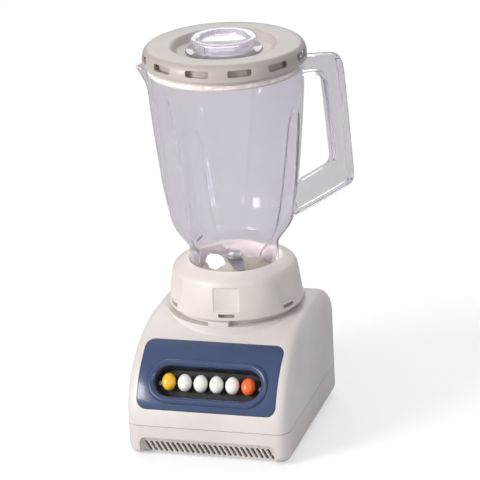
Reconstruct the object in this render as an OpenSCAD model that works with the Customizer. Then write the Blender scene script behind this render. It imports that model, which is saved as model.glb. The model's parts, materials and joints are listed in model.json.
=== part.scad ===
// Countertop blender with a six-button motor base, a clear jar and a lid with a filler cap.
// The origin is on the motor's axis, in the plane that the feet stand on. +Z is up and -Y is the front.

/* [Base] */
// Half of the base's width
base_half_w = 71.5; // [70:0.5:86]
// Front of the base, measured forwards from the motor's axis
base_front = 110; // [108:1:132]
// Rear of the base, measured backwards from the motor's axis
base_rear = 61; // [60:1:75]
// Height of the line where the housing meets the pan
parting_z = 30; // [28:1:36]
// Height of the round seat for the jar
seat_z = 104; // [102:1:125]
// Height where the front starts to curve back
nose_z = 36; // [34:1:40]
// Wall of the housing and of the pan
wall = 3; // [2.5:0.1:3.6]
// Radius of the rear corners, seen from above
rear_corner_r = 18; // [12:1:20]
// Radius of the front corners, seen from above
front_corner_r = 9; // [6:1:12]

/* [Control panel] */
// Width of the panel
panel_w = 122; // [116:1:126]
// Height of the panel along its slope
panel_h = 63; // [60:1:64]
// Radius of the panel's corners
panel_r = 8; // [4:1:12]
// Lean of the panel's face back from the upright
panel_lean = 37; // [35:1:39]
// Distance between the buttons
button_pitch = 14; // [13:0.5:15]
// Radius of a button
button_r = 5.9; // [5:0.1:6.3]
// Travel of a button
button_travel = 4; // [2:0.5:5]

/* [Jar] */
// Outer radius of the jar at its rim
jar_rim_r = 67.4; // [60:0.2:80]
// Height of the jar's rim
rim_z = 324; // [280:1:360]
// Outer radius at the widest part of the jar's shoulder
jar_low_r = 53; // [50:0.5:58]
// Outer radius of the jar's neck
neck_r = 38.4; // [36:0.2:40]
// Wall of the jar
jar_wall = 2.4; // [2:0.1:3]
// Distance of the handle's outer edge from the jar's axis
handle_reach = 106; // [100:1:120]
// Width of the handle, seen edge on
handle_w = 15; // [10:1:18]
// Direction of the handle, from the front towards the right
handle_dir = 112; // [95:1:125]

/* [Collar] */
// Outer radius at the collar's foot
collar_r = 58.2; // [57:0.2:60]
// Outer radius at the collar's upper corner
collar_top_r = 54.6; // [54:0.2:56]
// Height of the collar
collar_h = 38.8; // [36:0.2:42]
// Wall of the collar
collar_wall = 3; // [2:0.1:3.4]

/* [Lid] */
// Radius of the lid's flange
lid_r = 70; // [68:0.5:90]
// Height of the lid's flange
lid_h = 14; // [12:0.5:18]
// Wall of the lid
lid_wall = 2.4; // [2:0.1:3]
// Radius of the hole for the filler cap
cap_hole_r = 25; // [18:0.5:28]

/* [Motor] */
// Radius of the motor's shaft
shaft_r = 4; // [3:0.1:5]
// Outer radius of the armature
armature_r = 20; // [18:0.5:22]
// Length of the iron core
core_l = 30; // [22:1:34]

/* [Hidden] */
$fn = 64;
EPS = 0.01;
RUN = 0.05;          // radial clearance of a shaft in its bush
FIT = 0.25;          // gap between parts that slot together
LOOSE = 0.4;         // gap between parts that lift apart
BUTTONS = ["yellow", "white_1", "white_2", "white_3", "white_4", "red"];
BUTTON_COUNT = len(BUTTONS);

// Base
pan_z = 2;
foot_r = 8;
foot_inset = 15;
nose_reach = base_front - 15;
axis_x = -15.4; // the motor's axis, from the middle of the whole outline
axis_y = 20.4;
nose_rise = seat_z - nose_z;
nose_y = nose_reach - base_front;
rear_round = 26;
side_round = 14;
side_draft = 2;
seat_r = collar_r + 2;
seat_skirt = 20;
ring_r = collar_r - collar_wall - 2 * LOOSE - max(0, collar_r - collar_top_r - 3.6) * 0.2;
ring_wall = 2.6;
ring_h = 9;
tab_count = 3;
tab_h = 4;
tab_w = 18;
collar_z = seat_z + tab_h + 0.4;
deck_hole_r = 17;
screw_inset = 18;
boss_r = 4.5;
boss_h = 24;
vent_count = 24;
vent_pitch = 4.7;
vent_w = 2;
vent_tilt = 20;
vent_low_z = 4;
vent_top_z = 14;
vent_half_w = 60;
vent_step = 2.5;
vent_back = 9;

// Panel: a frame on the curved face, with its own +Z outwards and its own +Y up the slope
face_angle = panel_lean;
face_y = nose_y - nose_reach * cos(face_seat());
face_z = nose_z + nose_rise * sin(face_seat());
panel_proud = 0.8;
panel_sunk = 1.8;
panel_low = 24.5;
slot_w = (BUTTON_COUNT - 1) * button_pitch + 24;
slot_h = 27;
bezel = 6;
bezel_proud = 0.6;
recess_d = 12;
recess_wall = 1.8;
stem_r = 2;
button_low = button_travel - recess_d + 0.4;
socket_d = 4;
button_high = 2;
floor_z = -recess_d;
plunger_low = floor_z - recess_wall - 9;
switch_d = 22;
switch_h = 17;
switch_screw_x = slot_w / 2 - 2.8;
screw_r = 1.2;

// Jar
neck_z = collar_z + 21;
neck_h = 30;
shoulder_h = 18;
flute_count = 4;
flute_dir = 77.7;
flute_depth = 7;
flute_top_z = 286;
spout_reach = 6;
finger_wall = 20;
arm_h = 17;

// Collar
grip_depth = 1.6;
grip_w = 23;

// Blade set
collar_floor_z = collar_z + 12;
collar_floor = 3.6;
bearing_flange_z = collar_floor_z + collar_floor;
bearing_flange_h = 2.4;
seal_h = neck_z - bearing_flange_z - bearing_flange_h;
hub_r = 9;
hub_top_z = bearing_flange_z + 20;
spindle_low_z = seat_z + 0.6;
blade_z = hub_top_z + 1;
blade_t = 1.4;
nut_h = 6;
blade_reach = 27;

// Coupling
deck_z = seat_z - 7;
drive_z = deck_z + 1.5;
drive_hub_h = 5;
coupling_r = 15;
tooth_h = 6.4;
tooth_count = 6;
tooth_angle = 22;
tooth_gap = 0.6;
driven_z = drive_z + drive_hub_h + tooth_h + tooth_gap;
driven_hub_h = 4.4;

// Motor
core_half = 34;
core_low_z = 38;
core_top_z = core_low_z + core_l;
air_gap = 0.8;
bracket_t = 2.5;
low_bracket_z = 25;
top_bracket_z = 85;
bracket_w = 24;
post_x = core_half + 6;
post_r = 3;
fan_z = 9;
fan_h = 11;
fan_r = 30;
commutator_z = core_top_z + 5;
commutator_h = 10;
commutator_r = 12;
brush_z = commutator_z + commutator_h / 2;
brush_half = 3;
brush_l = 14;
holder_wall = 1.4;
shaft_low_z = fan_z - 2;
shaft_top_z = drive_z + drive_hub_h + 0.4;
mount_h = deck_z - wall - top_bracket_z - bracket_t;
gland_z = parting_z - 13;
gland_x = 30;
gland_r = 7;
cord_r = 3.4;

// Lid
lid_z = rim_z + 0.4;
plug_r = jar_rim_r - jar_wall - 1.2;
plug_low_z = lid_z - 8.4;
window_count = 12;
window_dir = 11.7;
window_angle = 17.7;
dish_r = cap_hole_r + 12;
seal_bead = 0.35;
cap_top_h = 12;
cap_flange_r = cap_hole_r + 8;
cap_body_r = cap_hole_r - LOOSE;
cap_wall = 2;
cap_depth = 22;

// Where the outward normal of the nose leans up by face_angle
function face_seat() = atan2(nose_rise * sin(face_angle), nose_reach * cos(face_angle));

// An arc's points, from one angle to another
function arc(cx, cy, rx, ry, from, to, steps) =
    [for (i = [0 : steps]) let (a = from + (to - from) * i / steps) [cx + rx * cos(a), cy + ry * sin(a)]];

// A pitch circle direction: degrees from the front towards the right
module facing(dir) { rotate([0, 0, dir - 90]) children(); }

module tube(outer, inner, height) {
    difference() {
        cylinder(r = outer, h = height);
        translate([0, 0, -1]) cylinder(r = inner, h = height + 2);
    }
}

// A bar with round ends, lying along X
module stadium(width, height, depth) {
    end_r = height / 2;
    linear_extrude(depth) {
        square([width - height, height], center = true);
        for (side = [-1, 1]) translate([side * (width / 2 - end_r), 0]) circle(r = end_r);
    }
}

module rounded_plate(width, height, r, depth) {
    linear_extrude(depth) {
        square([width - 2 * r, height], center = true);
        square([width, height - 2 * r], center = true);
        for (x = [-1, 1], y = [-1, 1]) translate([x * (width / 2 - r), y * (height / 2 - r)]) circle(r = r);
    }
}

// Places its children on the sloping face
module on_face() {
    translate([0, face_y, face_z]) rotate([90 - face_angle, 0, 0]) children();
}

// The base's solid shape from a low to a high level, drawn in by an inset
module base_form(inset, low, high) {
    half = base_half_w - inset;
    front = base_front - inset;
    rear = base_rear - inset;
    top = seat_z - inset;
    bottom_r = 9;
    corner_f = max(front_corner_r - inset, 2);
    corner_b = rear_corner_r - inset;
    intersection() {
        // Side view: elliptical nose, flat top, round rear
        rotate([90, 0, 90]) linear_extrude(2 * half + 2, center = true)
            polygon(concat(
                arc(nose_y, nose_z, nose_reach - inset, nose_rise - inset, 180, 90, 20),
                arc(rear - rear_round, top - rear_round, rear_round, rear_round, 90, 0, 8),
                arc(rear - bottom_r, pan_z + inset + bottom_r, bottom_r, bottom_r, 0, -90, 4),
                arc(bottom_r - front, pan_z + inset + bottom_r, bottom_r, bottom_r, -90, -180, 4)));
        // Front view: sides with a slight draft and round shoulders
        rotate([90, 0, 0]) linear_extrude(2 * (front + rear), center = true)
            polygon(concat(
                arc(half - side_draft - side_round, top - side_round, side_round, side_round, 0, 90, 6),
                arc(side_draft + side_round - half, top - side_round, side_round, side_round, 90, 180, 6),
                arc(bottom_r - half, pan_z + inset + bottom_r, bottom_r, bottom_r, 180, 270, 4),
                arc(half - bottom_r, pan_z + inset + bottom_r, bottom_r, bottom_r, 270, 360, 4)));
        // Seen from above: a rectangle with round corners
        translate([0, 0, low]) linear_extrude(high - low) {
            translate([-half + corner_f, -front]) square([2 * (half - corner_f), front + rear - corner_b]);
            translate([-half, -front + corner_f])
                square([2 * half, front - corner_f + rear - corner_b]);
            translate([-half + corner_b, 0]) square([2 * (half - corner_b), rear]);
            for (side = [-1, 1]) {
                translate([side * (half - corner_f), -front + corner_f]) circle(r = corner_f);
                translate([side * (half - corner_b), rear - corner_b]) circle(r = corner_b);
            }
        }
    }
}

// The panel's outline as a prism through the face, grown by a gap
module panel_prism(gap) {
    on_face() translate([0, panel_h / 2 - panel_low, -12])
        rounded_plate(panel_w + 2 * gap, panel_h + 2 * gap, panel_r + gap, 30);
}

// A band that follows the nose, between two depths under its surface
module nose_band(outer, inner) {
    rotate([90, 0, 90]) linear_extrude(2 * base_half_w, center = true)
        polygon(concat(
            arc(nose_y, nose_z, nose_reach + outer, nose_rise + outer, 182, 90, 24),
            arc(nose_y, nose_z, nose_reach - inner, nose_rise - inner, 90, 182, 24)));
}

module screw_places() {
    for (x = [-1, 1], y = [-base_front + screw_inset, base_rear - screw_inset])
        translate([x * (base_half_w - screw_inset - 2), y, 0]) children();
}

module upper_housing() {
    color("oldlace") difference() {
        union() {
            difference() {
                base_form(0, parting_z, seat_z + 1);
                base_form(wall, parting_z - 1, seat_z + 1);
            }
            // Deck under the seat, and the ring that the collar drops over
            translate([0, 0, deck_z - wall]) cylinder(r = ring_r, h = wall);
            translate([0, 0, deck_z - wall])
                tube(ring_r, ring_r - ring_wall, seat_z + ring_h - deck_z + wall);
            // Low lip round the seat, open to the collar's foot
            translate([0, 0, seat_z - seat_skirt]) tube(seat_r, ring_r - EPS, seat_skirt);
            // Tabs that the collar rests on
            for (i = [0 : tab_count - 1]) facing(i * 360 / tab_count)
                translate([ring_r - 1, -tab_w / 2, seat_z - 1])
                    cube([collar_r - ring_r + 0.6, tab_w, tab_h + 1]);
            // Bosses for the housing screws
            screw_places() translate([0, 0, parting_z + 0.2]) cylinder(r = boss_r, h = boss_h);
            for (side = [-1, 1], y = [-base_front + screw_inset, base_rear - screw_inset])
                translate([side * (base_half_w - (screw_inset + 2) / 2 - 1), y, parting_z + boss_h / 2 + 0.2])
                    cube([screw_inset, 2, boss_h], center = true);
        }
        // Well for the coupling and the hole for the shaft
        translate([0, 0, deck_z]) cylinder(r = ring_r - ring_wall, h = ring_h + 20);
        translate([0, 0, deck_z - wall - 1]) cylinder(r = deck_hole_r, h = wall + 2);
        // Rebate and window for the control panel
        intersection() {
            panel_prism(FIT);
            nose_band(10, panel_sunk + 0.1);
        }
        panel_prism(-2.5);
        screw_places() translate([0, 0, parting_z - 1]) cylinder(r = 1.4, h = 20);
    }
}

module vent_slots() {
    for (i = [0 : vent_count - 1])
        translate([(i - (vent_count - 1) / 2) * vent_pitch, -base_front - 2, (vent_low_z + vent_top_z) / 2])
            rotate([0, vent_tilt, 0]) rotate([-90, 0, 0])
                stadium_upright(vent_w, vent_top_z - vent_low_z, 26);
}

module stadium_upright(width, height, depth) { rotate([0, 0, 90]) stadium(height, width, depth); }

// Leaning front wall between the corner legs
module vent_wall(low, high) {
    rotate([90, 0, 90]) linear_extrude(2 * vent_half_w, center = true)
        polygon([[-base_front + vent_back + low, pan_z], [-base_front + vent_step + low, vent_top_z + 5],
            [-base_front + vent_step + high, vent_top_z + 5], [-base_front + vent_back + high, pan_z]]);
}

module bottom_pan() {
    color("antiquewhite") difference() {
        union() {
            difference() {
                base_form(0, pan_z, parting_z - 0.2);
                base_form(wall, pan_z + wall, parting_z + 1);
                // Space in front of the leaning wall
                translate([-vent_half_w, -base_front - 1, pan_z - 1])
                    cube([2 * vent_half_w, vent_back + 6, vent_top_z + 5 - pan_z + 1]);
            }
            intersection() {
                vent_wall(0, wall);
                translate([-vent_half_w, -base_front, pan_z])
                    cube([2 * vent_half_w, 30, vent_top_z + 5 - pan_z]);
            }
            // Shelf that joins the leaning wall to the front wall, and the two cheeks
            translate([-vent_half_w, -base_front + 1, vent_top_z + 3.4])
                cube([2 * vent_half_w, 4.6, wall - 1.2]);
            for (side = [-1, 1]) translate([side * (vent_half_w + 1) - 1, -base_front + 2, pan_z + 1])
                cube([2, vent_back + 8, vent_top_z + 4 - pan_z]);
            translate([-vent_half_w, -base_front + vent_back, pan_z]) cube([2 * vent_half_w, 8, wall]);
            screw_places() translate([0, 0, pan_z]) cylinder(r = 5, h = parting_z - pan_z);
            // Socket for the cord gland
            translate([gland_x, base_rear - 9, gland_z]) rotate([-90, 0, 0]) cylinder(r = gland_r + 3, h = 8);
        }
        vent_slots();
        screw_places() {
            translate([0, 0, -1]) cylinder(r = 1.8, h = parting_z + 2);
            translate([0, 0, -1]) cylinder(r = 3.6, h = 12);
        }
        // Air inlet under the fan
        for (ring = [12 : 6 : 30], i = [0 : 11]) rotate([0, 0, i * 30]) translate([ring, 0, 0])
            cylinder(r = 1.6, h = 8, $fn = 24);
        translate([gland_x, base_rear - 20, gland_z]) rotate([-90, 0, 0]) cylinder(r = gland_r, h = 30);
        foot_places() translate([0, 0, -1]) cylinder(r = 2.6, h = 8);
    }
}

module foot_places() {
    for (x = [-1, 1], y = [-base_front + foot_inset + 22, base_rear - foot_inset - 22])
        translate([x * (base_half_w - foot_inset), y, 0]) children();
}

module rubber_feet() {
    color("dimgray") foot_places() {
        cylinder(r = foot_r, h = pan_z);
        cylinder(r = 2.6, h = pan_z + wall + 0.2);
        translate([0, 0, pan_z + wall + 0.1]) cylinder(r1 = 3.6, r2 = 2, h = 2);
    }
}

module housing_screws() {
    color("silver") screw_places() {
        translate([0, 0, 8.6]) cylinder(r = 3.2, h = 2.4);
        translate([0, 0, 11]) cylinder(r = 1.4, h = 30);
    }
}

module cord_gland() {
    color("dimgray") difference() {
        union() {
            translate([gland_x, base_rear - 11, gland_z]) rotate([-90, 0, 0])
                cylinder(r = gland_r - 0.05, h = 12);
            translate([gland_x, base_rear + 0.05, gland_z]) rotate([-90, 0, 0])
                cylinder(r1 = gland_r + 1.6, r2 = gland_r, h = 3);
            translate([gland_x, base_rear - 13, gland_z])
                rotate([-90, 0, 0]) cylinder(r = gland_r + 1.6, h = 3.8);
        }
        translate([gland_x, base_rear - 20, gland_z]) rotate([-90, 0, 0]) cylinder(r = cord_r, h = 40);
    }
}

module button_row() {
    for (i = [0 : BUTTON_COUNT - 1])
        translate([(i - (BUTTON_COUNT - 1) / 2) * button_pitch, 0, 0]) children();
}

module control_panel() {
    color("steelblue") difference() {
        union() {
            intersection() {
                panel_prism(0);
                nose_band(panel_proud, panel_sunk);
            }
            on_face() {
                translate([0, 0, -5]) stadium(slot_w + 2 * bezel, slot_h + 2 * bezel, 5 + bezel_proud);
                translate([0, 0, floor_z - recess_wall])
                    stadium(slot_w + 2 * recess_wall, slot_h + 2 * recess_wall, recess_d + recess_wall);
            }
        }
        on_face() {
            translate([0, 0, floor_z]) stadium(slot_w, slot_h, recess_d + 12);
            button_row() translate([0, 0, floor_z - recess_wall - 1])
                cylinder(r = stem_r + 0.6, h = recess_wall + 2);
            switch_screw_places() translate([0, 0, floor_z - recess_wall - 1])
                cylinder(r = screw_r + 0.1, h = recess_wall + 2);
        }
    }
}

module switch_block() {
    color("ivory") on_face() difference() {
        translate([0, 0, floor_z - recess_wall - 0.2 - switch_d / 2])
            cube([2 * switch_screw_x + 5, switch_h, switch_d], center = true);
        button_row() translate([0, 0, floor_z - recess_wall - 14]) cylinder(r = stem_r + 0.3, h = 16);
        switch_screw_places() translate([0, 0, floor_z - recess_wall - 8]) cylinder(r = screw_r, h = 10);
    }
}

module switch_screw_places() {
    for (side = [-1, 1]) translate([side * switch_screw_x, 0, 0]) children();
}

module switch_bracket_screws() {
    color("silver") on_face() switch_screw_places() {
        translate([0, 0, floor_z - recess_wall - 7.6]) cylinder(r = screw_r, h = 7.7 + recess_wall);
        translate([0, 0, floor_z]) cylinder(r = 1.9, h = 1.2);
    }
}

module button(i) {
    dome_r = button_r * 1.15;
    on_face() translate([(i - (BUTTON_COUNT - 1) / 2) * button_pitch, 0, 0]) {
        translate([0, 0, button_low]) difference() {
            cylinder(r = button_r, h = button_high - button_low - button_r * 0.6);
            translate([0, 0, -1]) cylinder(r = stem_r, h = socket_d + 1);
        }
        intersection() {
            translate([0, 0, button_high - dome_r]) sphere(r = dome_r);
            translate([0, 0, button_high - button_r * 0.6 - 0.1]) cylinder(r = button_r, h = button_r);
        }
    }
}

module plunger(i) {
    color("whitesmoke") on_face() translate([(i - (BUTTON_COUNT - 1) / 2) * button_pitch, 0, 0])
        translate([0, 0, plunger_low]) cylinder(r = stem_r, h = button_low + socket_d - plunger_low);
}

// ---- motor ----
module stator_core() {
    color("slategray") translate([0, 0, core_low_z]) difference() {
        union() {
            rounded_plate(2 * core_half, 2 * core_half - 8, 8, core_l);
            for (side = [-1, 1]) translate([side * (core_half + 4), 0, core_l / 2])
                cube([16, 14, core_l], center = true);
        }
        translate([0, 0, -1]) cylinder(r = armature_r + air_gap, h = core_l + 2);
        // Room for the two field coils
        for (side = [-1, 1]) translate([0, side * (armature_r + 5), core_l / 2])
            cube([2 * armature_r + 4, 7, core_l + 2], center = true);
        for (side = [-1, 1]) translate([side * post_x, 0, -1]) cylinder(r = post_r + FIT, h = core_l + 2);
    }
}

module field_coils() {
    color("chocolate") for (side = [-1, 1]) translate([0, side * (armature_r + 5), core_low_z - 4])
        difference() {
            translate([-armature_r - 1.5, -3, 0]) cube([2 * armature_r + 3, 6, core_l + 8]);
            translate([-armature_r + 5, -4, 6]) cube([2 * armature_r - 10, 8, 0.2]);
        }
}

module bracket(z) {
    translate([0, 0, z]) difference() {
        union() {
            translate([-post_x - 6, -bracket_w / 2, 0]) cube([2 * post_x + 12, bracket_w, bracket_t]);
            cylinder(r = 15, h = bracket_t);
            translate([-bracket_w / 2 - 4, -30, 0]) cube([bracket_w + 8, 60, bracket_t]);
        }
        translate([0, 0, -1]) cylinder(r = 9, h = bracket_t + 2);
        for (side = [-1, 1]) translate([side * post_x, 0, -1]) cylinder(r = 2, h = bracket_t + 2);
        for (x = [-1, 1], y = [-1, 1]) translate([x * 11, y * 24, -1]) cylinder(r = 2, h = bracket_t + 2);
    }
}

module lower_bracket() { color("silver") bracket(low_bracket_z); }

module upper_bracket() {
    color("silver") {
        bracket(top_bracket_z);
        for (side = [-1, 1]) translate([side * post_x, 0, low_bracket_z + bracket_t])
            tube(post_r, 2, top_bracket_z - low_bracket_z - bracket_t);
    }
}

module bracket_screws() {
    color("gainsboro") for (side = [-1, 1]) translate([side * post_x, 0, low_bracket_z - 3]) {
        cylinder(r = 3.6, h = 3);
        cylinder(r = 1.9, h = top_bracket_z + bracket_t + 3 - low_bracket_z + 3);
        translate([0, 0, top_bracket_z + bracket_t + 3 - low_bracket_z]) cylinder(r = 3.4, h = 2.4);
    }
}

module motor_mounts() {
    color("black") for (x = [-1, 1], y = [-1, 1])
        translate([x * 11, y * 24, top_bracket_z + bracket_t]) {
            cylinder(r = 5, h = mount_h);
            translate([0, 0, -bracket_t]) cylinder(r = 1.9, h = bracket_t + 1);
        }
}

module bush(z) {
    translate([0, 0, z - 2]) tube(8.9, shaft_r + RUN, bracket_t + 4);
}

module lower_bush() { color("goldenrod") bush(low_bracket_z); }

module upper_bush() { color("goldenrod") bush(top_bracket_z); }

module brush_holders() {
    color("saddlebrown") for (side = [-1, 1]) {
        translate([0, side * (commutator_r + 2 + brush_l / 2), brush_z]) difference() {
            cube([2 * (brush_half + holder_wall), brush_l, 2 * (brush_half + holder_wall)], center = true);
            cube([2 * brush_half + 0.2, brush_l + 2, 2 * brush_half + 0.2], center = true);
        }
        // Stalk up to the bracket
        translate([-brush_half, side * (commutator_r + 8) - 3, brush_z + brush_half + holder_wall - 0.2])
            cube([2 * brush_half, 6, top_bracket_z - brush_z - brush_half - holder_wall + 0.2]);
    }
}

module carbon_brushes() {
    color("dimgray") for (side = [-1, 1])
        translate([0, side * (commutator_r + 0.15 + brush_l / 2), brush_z])
            cube([2 * brush_half, brush_l, 2 * brush_half], center = true);
}

module motor_shaft() {
    color("lightgray") translate([0, 0, shaft_low_z]) cylinder(r = shaft_r, h = shaft_top_z - shaft_low_z);
}

module armature_core() {
    color("gray") translate([0, 0, core_low_z]) difference() {
        cylinder(r = armature_r, h = core_l);
        translate([0, 0, -1]) cylinder(r = shaft_r, h = core_l + 2);
        for (i = [0 : 11]) rotate([0, 0, i * 30])
            translate([armature_r - 3, -1, -1]) cube([4, 2, core_l + 2]);
    }
}

module armature_winding() {
    color("peru") for (z = [core_low_z - 5, core_top_z])
        translate([0, 0, z]) tube(armature_r - 3.5, shaft_r, 5);
}

module commutator() {
    color("darkgoldenrod") translate([0, 0, commutator_z]) difference() {
        tube(commutator_r, shaft_r, commutator_h);
        for (i = [0 : 23]) rotate([0, 0, i * 15])
            translate([commutator_r - 1, -0.25, 1]) cube([2, 0.5, commutator_h]);
    }
}

module cooling_fan() {
    color("lightsteelblue") translate([0, 0, fan_z]) {
        tube(8, shaft_r, fan_h);
        translate([0, 0, fan_h - 1.5]) tube(fan_r, shaft_r, 1.5);
        for (i = [0 : 9]) rotate([0, 0, i * 36]) translate([7, -0.7, 0]) cube([fan_r - 8, 1.4, fan_h]);
    }
}

// Ring sectors that stand up as coupling teeth
module teeth(height) {
    for (i = [0 : tooth_count - 1]) rotate([0, 0, i * 360 / tooth_count - tooth_angle / 2])
        rotate_extrude(angle = tooth_angle) translate([7, 0]) square([coupling_r - 8, height]);
}

module drive_coupling() {
    color("dimgray") translate([0, 0, drive_z]) {
        tube(coupling_r, shaft_r, drive_hub_h);
        translate([0, 0, drive_hub_h - 1]) teeth(tooth_h + 1);
    }
}

module driven_coupling() {
    color("black") translate([0, 0, driven_z]) {
        tube(coupling_r, shaft_r, driven_hub_h);
        rotate([0, 0, 180 / tooth_count]) translate([0, 0, -tooth_h]) teeth(tooth_h + 1);
    }
}

// ---- jar ----
// The jar's outline from its neck to its rim, drawn in by an inset
function jar_side(inset) = [
    [neck_r - inset, neck_z],
    [neck_r - inset, neck_z + neck_h],
    [neck_r + 1.5 - inset, neck_z + neck_h + 3],
    [jar_low_r - 3 - inset, neck_z + neck_h + shoulder_h - 1],
    [jar_low_r - inset, neck_z + neck_h + shoulder_h + 8],
    [jar_low_r + 5.6 - inset, neck_z + neck_h + shoulder_h + 40],
    [jar_rim_r - 2.2 - inset, rim_z - 40],
    [jar_rim_r - inset, rim_z]];

module jar_body(inset, below, above) {
    side = jar_side(inset);
    last = len(side) - 1;
    rotate_extrude() polygon(concat(
        [[0, side[0][1] - below], [side[0][0], side[0][1] - below]], side,
        [[side[last][0], side[last][1] + above], [0, side[last][1] + above]]));
}

// One pressed-in flute: a wedge that deepens towards the neck
module flute(extra) {
    low = neck_z + neck_h + 6;
    facing(flute_dir) rotate([90, 0, 0]) linear_extrude(2 * (9 + extra), center = true)
        polygon([[jar_low_r - 8 - flute_depth - extra, low - extra],
            [jar_rim_r - 4 + 2 - extra, flute_top_z + extra],
            [jar_rim_r + 8, flute_top_z + extra], [jar_rim_r + 8, low - extra]]);
}

module flutes(extra) {
    for (i = [0 : flute_count - 1]) rotate([0, 0, i * 360 / flute_count]) flute(extra);
}

module handle_outline() {
    top = rim_z - 1;
    low = neck_z + neck_h + 62;
    foot_low = neck_z + neck_h + 23;
    foot_high = foot_low + 24;
    difference() {
        polygon([[jar_rim_r - 3, top], [handle_reach - 10, top], [handle_reach - 5, top - 4],
            [handle_reach - 4, top - 9], [handle_reach + 2, low + 2], [handle_reach, low - 5],
            [handle_reach - 5, low - 9], [jar_low_r - 2, foot_low], [jar_low_r + 1, foot_high]]);
        polygon([[jar_rim_r - 14, top - arm_h], [handle_reach - finger_wall - 6, top - arm_h],
            [handle_reach - finger_wall - 3, top - arm_h - 4], [handle_reach - finger_wall + 1, low + 12],
            [jar_low_r - 3, foot_high + 1], [jar_low_r - 10, foot_high + 30]]);
    }
}

module spout_wedge(inset) {
    facing(handle_dir + 180) rotate([90, 0, 0]) linear_extrude(2 * (11 - inset), center = true)
        polygon([[jar_rim_r - 8, rim_z - 26 + 2 * inset], [jar_rim_r - 2, rim_z - 22 + 2 * inset],
            [jar_rim_r + spout_reach - inset, rim_z - 3],
            [jar_rim_r + spout_reach - inset, rim_z - EPS + inset],
            [jar_rim_r - 8, rim_z - EPS + inset]]);
}

module jar() {
    color("thistle", 0.5) difference() {
        union() {
            difference() {
                jar_body(0, 0, 0);
                flutes(0);
            }
            spout_wedge(0);
            difference() {
                facing(handle_dir) rotate([90, 0, 0])
                    linear_extrude(handle_w, center = true) handle_outline();
                jar_body(jar_wall / 2, 1, 1);
            }
        }
        difference() {
            jar_body(jar_wall, 1, 1);
            flutes(jar_wall);
        }
        spout_wedge(jar_wall);
    }
}

module grip_places() {
    for (i = [0 : 5]) facing(7 + i * 60) children();
}

module collar() {
    corner_z = collar_h - 9;
    taper = atan((collar_r - collar_top_r) / (corner_z - 5));
    sleeve_r = neck_r + LOOSE + 2.6;
    color("linen") translate([0, 0, collar_z]) difference() {
        rotate_extrude() polygon([
            [neck_r + LOOSE, collar_h], [neck_r + 3, collar_h], [collar_top_r - 7, corner_z + 6.5],
            [collar_top_r - 2, corner_z + 3], [collar_top_r, corner_z - 2], [collar_r, 2], [collar_r, 0],
            [collar_r - collar_wall, 0], [collar_r - collar_wall, 2],
            [collar_top_r - collar_wall, corner_z - 4],
            [collar_top_r - 8, corner_z + 1], [sleeve_r, corner_z + 3], [sleeve_r, 12], [hub_r + 11, 12],
            [hub_r + 11, 12 + collar_floor], [neck_r + LOOSE, 12 + collar_floor]]);
        // Grip recesses and the small slots under them
        grip_places() {
            translate([collar_r - grip_depth, -grip_w / 2, 3]) rotate([0, -taper, 0])
                translate([0, 0, 5.5]) cube([10, grip_w, 21.5]);
            translate([collar_r - collar_wall - 1, -7, 3]) cube([10, 14, 3.2]);
        }
    }
}

module bearing_housing() {
    color("floralwhite") difference() {
        union() {
            translate([0, 0, bearing_flange_z]) cylinder(r = neck_r - 1.5, h = bearing_flange_h);
            translate([0, 0, collar_floor_z - 1])
                cylinder(r = hub_r + 10, h = bearing_flange_z - collar_floor_z + 1 + EPS);
            translate([0, 0, bearing_flange_z])
                cylinder(r1 = hub_r + 14, r2 = hub_r, h = hub_top_z - bearing_flange_z);
        }
        translate([0, 0, collar_floor_z - 2]) cylinder(r = hub_r - 2.5, h = 60);
    }
}

module spindle_bush() {
    color("goldenrod") translate([0, 0, collar_floor_z - 0.5])
        tube(hub_r - 2.5, shaft_r + RUN, hub_top_z - collar_floor_z + 0.5);
}

module neck_seal() {
    color("silver") translate([0, 0, bearing_flange_z + bearing_flange_h])
        tube(neck_r - 1, neck_r - jar_wall - 2.5, seal_h);
}

module blade_spindle() {
    color("silver") translate([0, 0, spindle_low_z])
        cylinder(r = shaft_r, h = blade_z + 2 * blade_t + nut_h - 1 - spindle_low_z);
}

// One bent strip: a flat middle and two wings that rise by the slope
module blade_strip(reach, slope, width) {
    difference() {
        rotate([90, 0, 0]) linear_extrude(width, center = true)
            polygon([[-reach, (reach - 9) * slope], [-9, 0], [9, 0], [reach, (reach - 9) * slope],
                [reach, (reach - 9) * slope + blade_t], [9, blade_t], [-9, blade_t],
                [-reach, (reach - 9) * slope + blade_t]]);
        translate([0, 0, -5]) cylinder(r = shaft_r, h = 12);
        for (side = [-1, 1]) rotate([0, 0, side > 0 ? 0 : 180]) translate([12, width / 2, -20])
            rotate([0, 0, -14]) cube([40, 20, 60]);
    }
}

module upper_blade() {
    color("lightgray") translate([0, 0, blade_z + blade_t]) rotate([0, 0, 25])
        blade_strip(blade_reach, 0.8, 12);
}

module lower_blade() {
    color("lightgray") translate([0, 0, blade_z]) rotate([0, 0, 115])
        blade_strip(blade_reach + 2, 0.12, 12);
}

module blade_nut() {
    color("gainsboro") translate([0, 0, blade_z + 2 * blade_t]) difference() {
        union() {
            cylinder(r = 6.4, h = nut_h - 2, $fn = 6);
            cylinder(r = 5, h = nut_h);
        }
        translate([0, 0, -1]) cylinder(r = shaft_r, h = nut_h);
    }
}

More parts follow.
